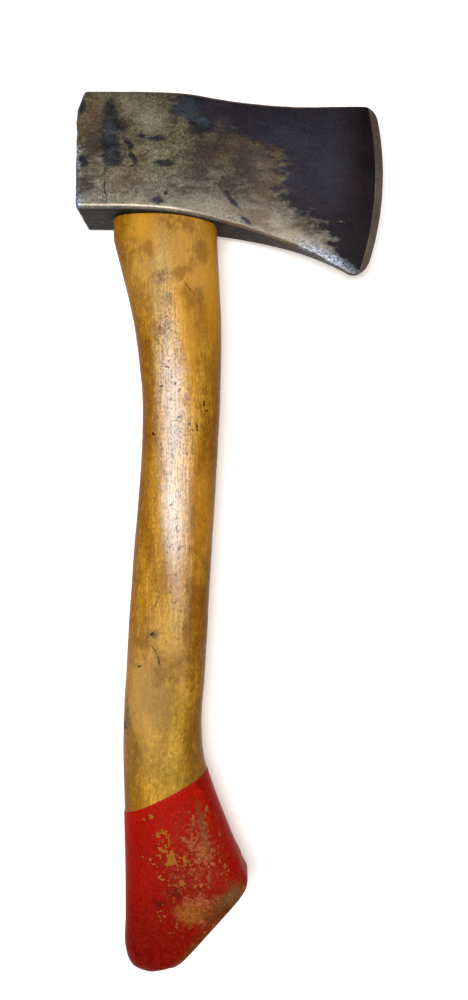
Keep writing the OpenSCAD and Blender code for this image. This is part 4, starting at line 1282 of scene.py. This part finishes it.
def corner(low, high, share):
    """Index of the inner point at a share of the way between grid points; outer is next."""
    if (low, high) not in known:
        known[low, high] = len(points)
        if low[0] == high[0] == 0:
            first_row.add(len(points))
        for skin_points in (inner, outer):
            points.append(blend(skin_points[low], skin_points[high], share))
            scuffs.append(blend(scuff[low], scuff[high], share))
    return known[low, high]


for r in range(row_count - 1):
    for c in range(AROUND):
        square = [(r, c), (r + 1, c), (r + 1, (c + 1) % AROUND), (r, (c + 1) % AROUND)]
        loop = []
        for a, b in zip(square, square[1:] + square[:1]):
            if hole[a] <= 0:
                loop.append((corner(a, a, 0.0), False))
            if (hole[a] <= 0) != (hole[b] <= 0):
                low, high = sorted((a, b))
                loop.append((corner(low, high, hole[low] / (hole[low] - hole[high])), True))
        if not loop:
            continue
        faces.append([k + 1 for k, _ in loop])
        faces.append([k for k, _ in loop][::-1])
        for (k, k_cut), (m, m_cut) in zip(loop, loop[1:] + loop[:1]):
            if (k_cut and m_cut) or (k in first_row and m in first_row):
                faces.append([k + 1, k, m, m + 1])

coat = new_piece("enamel_coat", points, faces)
stored = coat.data.attributes.new("rubbed", "FLOAT", "POINT")
stored.data.foreach_set("value", np.array(scuffs, np.float32))
tidy(coat, merge=0.002, crease=50)
report(coat)

# %% [markdown]
# ## Finish: red enamel
# An oil enamel is a smooth, slightly glossy film with a deep even red. Here it has
# dulled, and where it is scuffed it is rubbed thin, so brown wood and dirt come through,
# most of all along the slanting cut. The coat's mesh carries how rubbed each point is.
# Dust in the film is a tenth of a millimetre across, drawn at 0.5 so that it shows.

# %% Red enamel
enamel, tree, place = finish_tree("RedEnamel")
rubbed = add(tree, "ShaderNodeAttribute", attribute_name="rubbed").node.outputs["Fac"]
x_y_z = add(tree, "ShaderNodeSeparateXYZ", {0: place}).node.outputs
clouds = add(tree, "ShaderNodeTexNoise", {"Vector": place, "Scale": 1 / (14 * MM),
                                          "Detail": 5.0})
fine = add(tree, "ShaderNodeTexNoise", {"Vector": place, "Scale": 1 / (1.3 * MM),
                                        "Detail": 6.0, "Roughness": 0.72})
streaks = add(tree, "ShaderNodeMapping", {"Vector": place, "Rotation": (0, 0, -0.45),
                                          "Scale": (1.0, 0.4, 1.0)})
streaks = add(tree, "ShaderNodeTexNoise", {"Vector": streaks, "Scale": 1 / (2.6 * MM),
                                           "Detail": 6.0, "Roughness": 0.68})
grit = add(tree, "ShaderNodeTexNoise", {"Vector": place, "Scale": 1 / (0.5 * MM),
                                        "Detail": 2.0})
colour = add(tree, "ShaderNodeMix", {"Factor": clouds, "A": linear("960801"),
                                     "B": linear("bd1602")}, data_type="RGBA")
deeper = add(tree, "ShaderNodeMapRange", {"Value": x_y_z["Y"], "From Min": -262 * MM,
                                          "From Max": -318 * MM, "To Min": 1.08,
                                          "To Max": 0.52})
colour = add(tree, "ShaderNodeVectorMath", {0: colour, "Scale": deeper}, operation="SCALE")
thin = add(tree, "ShaderNodeMath", {0: fine, 1: 2.0, 2: rubbed}, operation="MULTIPLY_ADD")
thin = add(tree, "ShaderNodeMath", {0: streaks, 1: 1.6, 2: thin}, operation="MULTIPLY_ADD")
for low, high, most, hex_colour in ((1.8, 2.5, 0.7, "7c2a10"), (2.3, 2.6, 0.8, "ac5e38")):
    amount = add(tree, "ShaderNodeMapRange", {"Value": thin, "From Min": low,
                                              "From Max": high, "To Max": most})
    colour = add(tree, "ShaderNodeMix", {"Factor": amount, "A": colour,
                                         "B": linear(hex_colour)}, data_type="RGBA")
ragged = add(tree, "ShaderNodeTexNoise", {"Vector": place, "Scale": 1 / (3 * MM),
                                          "Detail": 5.0, "Roughness": 0.65})
ragged = pushed_about(tree, place, ragged, 8 * MM)
upper = add(tree, "ShaderNodeMapRange", {"Value": x_y_z["Z"], "From Min": 14 * MM,
                                         "From Max": 21 * MM})
uneven = add(tree, "ShaderNodeMath", {0: fine, 1: streaks}, operation="ADD")
uneven = add(tree, "ShaderNodeMath", {0: uneven, 1: 1.0}, operation="SUBTRACT")
for marks, soft, hard, most, dark in (
        ([(16, -252, 3, 9, 20), (21.5, -262, 3, 9, 25)], 1.4, 0.4, 0.5, "560a02"),
        ([(11.6, -303.7, 5.8, 3.8, 0)], 1.3, 0.7, 0.9, "9a5420"),
        ([(24.5, -302.5, 11, 6, 47), (14.5, -317, 15, 3, 48)], 1.35, 0.6, 0.85, "64330f"),
        ([(26.5, -297, 6, 3.6, 40), (15.8, -270, 1.3, 9, 14)], 1.4, 0.4, 0.6, "705430"),
        ([(-2, -300, 1.4, 2.2, 0), (5, -295, 2.0, 1.6, 0), (27, -304, 1.6, 3, 47)], 1.5, 0.3,
         0.7, "3a0e06")):
    near = nearest_mark(tree, ragged, marks)
    near = add(tree, "ShaderNodeMath", {0: uneven, 1: 1.4, 2: near}, operation="MULTIPLY_ADD")
    colour = marked(tree, colour, near, (soft, hard, most), upper, dark)
for pattern, low, high in ((fine, 0.74, 1.22), (grit, 0.66, 1.34)):
    colour = toned(tree, colour, pattern, low, high)
rough = add(tree, "ShaderNodeMapRange", {"Value": fine, "From Min": 0.3, "From Max": 0.7,
                                         "To Min": 0.4, "To Max": 0.6})
bumps = add(tree, "ShaderNodeBump", {"Height": fine, "Strength": 0.4, "Distance": 0.1 * MM})
surface = add(tree, "ShaderNodeBsdfPrincipled",
              {"Base Color": colour, "Roughness": rough, "IOR": 1.5,
               "Specular IOR Level": 0.06, "Normal": bumps})
add(tree, "ShaderNodeOutputMaterial", {"Surface": surface})
coat.data.materials.append(enamel)
print("enamel:", len(tree.nodes), "nodes")

# %% [markdown]
# ## The wedges
# A wooden wedge is driven into the saw kerf along the eye, and then two steel wedges go
# in across it. Each has barbs down both faces, which grip the wood, and a head that the
# hammer has spread a little. They are ringed like the handle, only squarer.

# %% Finishes of the wedges
wedge_wood, tree, place = finish_tree("SplitWedgeWood")
grain = add(tree, "ShaderNodeMapping", {"Vector": place, "Scale": (0.12, 1.0, 1.0)})
grain = add(tree, "ShaderNodeTexNoise", {"Vector": grain, "Scale": 1 / (0.6 * MM),
                                         "Detail": 4.0})
colour = add(tree, "ShaderNodeMix", {"Factor": grain, "A": linear("5d4023"),
                                     "B": linear("b58e5c")}, data_type="RGBA")
bumps = add(tree, "ShaderNodeBump", {"Height": grain, "Strength": 0.5, "Distance": 0.12 * MM})
surface = add(tree, "ShaderNodeBsdfPrincipled",
              {"Base Color": colour, "Roughness": 0.7, "IOR": 1.5, "Normal": bumps})
add(tree, "ShaderNodeOutputMaterial", {"Surface": surface})

wedge_steel, tree, place = finish_tree("RustedWedgeSteel")
rust = add(tree, "ShaderNodeTexNoise", {"Vector": place, "Scale": 1 / (1.8 * MM),
                                        "Detail": 7.0, "Roughness": 0.7})
amount = add(tree, "ShaderNodeMapRange", {"Value": rust, "From Min": 0.42, "From Max": 0.58})
colour = add(tree, "ShaderNodeMix", {"Factor": amount, "A": linear("77726c"),
                                     "B": linear("5c3a26")}, data_type="RGBA")
metal = add(tree, "ShaderNodeMapRange", {"Value": amount, "To Min": 0.9, "To Max": 0.1})
rough = add(tree, "ShaderNodeMapRange", {"Value": amount, "To Min": 0.38, "To Max": 0.8})
bumps = add(tree, "ShaderNodeBump", {"Height": rust, "Strength": 0.6, "Distance": 0.15 * MM})
surface = add(tree, "ShaderNodeBsdfPrincipled",
              {"Base Color": colour, "Metallic": metal, "Roughness": rough, "Normal": bumps})
add(tree, "ShaderNodeOutputMaterial", {"Surface": surface})
print("wedge finishes made")

# %% Wedges: shapes
WOOD_WEDGE_ROWS = 29
rows = []
full_w = eye_l + eye_flare - 2 * wood_wedge_inset
for share in np.linspace(0, 1, WOOD_WEDGE_ROWS):
    half = blend(wood_wedge_t, wood_wedge_tip, share) / 2
    rows.append([0, y_top + proud - wood_wedge_d * share, full_w / 2, 0, half,
                 wood_wedge_square])
wooden = ringed("wooden_wedge_piece",
                shrinking(rows[0], 8)[::-1] + rows + shrinking(rows[-1], 4),
                WOOD_WEDGE_POINTS, wedge_wood)
cut_away(wooden, *steel_slots(0))
tidy(wooden)
report(wooden)

steel_wedges = {}
for name, way, seed in (("steel_wedge_rear", -1, 5.0), ("steel_wedge_front", 1, 8.0)):
    centre_x = way * steel_wedge_gap / 2
    head_rows = [(0.35, 1.02), (0.3, 1.1), (0.1, 1.13), (-0.05, 1.0)]
    rows = [[centre_x, y_top + proud + y, steel_wedge_t / 2 * wide, 0,
             steel_wedge_w / 2 * (1 + (wide - 1) * 0.25), steel_wedge_square]
            for y, wide in head_rows]
    for k in range(1, barb_count + 1):
        d = k / (barb_count + 1)
        half = blend(steel_wedge_t, steel_wedge_tip, d) / 2
        for tooth in (half, half - min(barb, half / 2)):
            rows.append([centre_x, y_top + proud - d * steel_wedge_d, tooth, 0,
                         steel_wedge_w / 2, steel_wedge_square])
    rows.append([centre_x, y_top + proud - steel_wedge_d, steel_wedge_tip / 2, 0,
                 steel_wedge_w / 2, steel_wedge_square])
    made = ringed(name + "_piece", shrinking(rows[0], 10)[::-1] + rows
                  + shrinking(rows[-1], 2), STEEL_WEDGE_POINTS, wedge_steel)
    shape_with(made, weather_tree, {
        "Swell size": 3 * MM, "Swell depth": 0.12 * MM, "Pit size": 1.2 * MM,
        "Pit depth": 0.08 * MM, "Pit share": 0.35, "True below": 14 * MM, "Seed": seed,
        "Finish": wedge_steel})
    tidy(made)
    report(made)
    steel_wedges[name] = made

# %% [markdown]
# ## Everything rides on one body
# A hatchet has no moving parts, so each piece rides on the root, and the CAD node that
# it replaces is hidden.

# %% Ride and replace
for piece, node, slot in ((head, "head", "forged_steel"), (handle, "handle", "hickory"),
                          (coat, "paint_coat", "red_enamel"),
                          (wooden, "wooden_wedge", "wedge_wood"),
                          (steel_wedges["steel_wedge_rear"], "steel_wedge_rear",
                           "wedge_steel"),
                          (steel_wedges["steel_wedge_front"], "steel_wedge_front",
                           "wedge_steel")):
    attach(piece, "root")
    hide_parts(node)

low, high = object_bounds()
print("visual box in mm:", [round(v / MM, 2) for v in (*low, *high)])
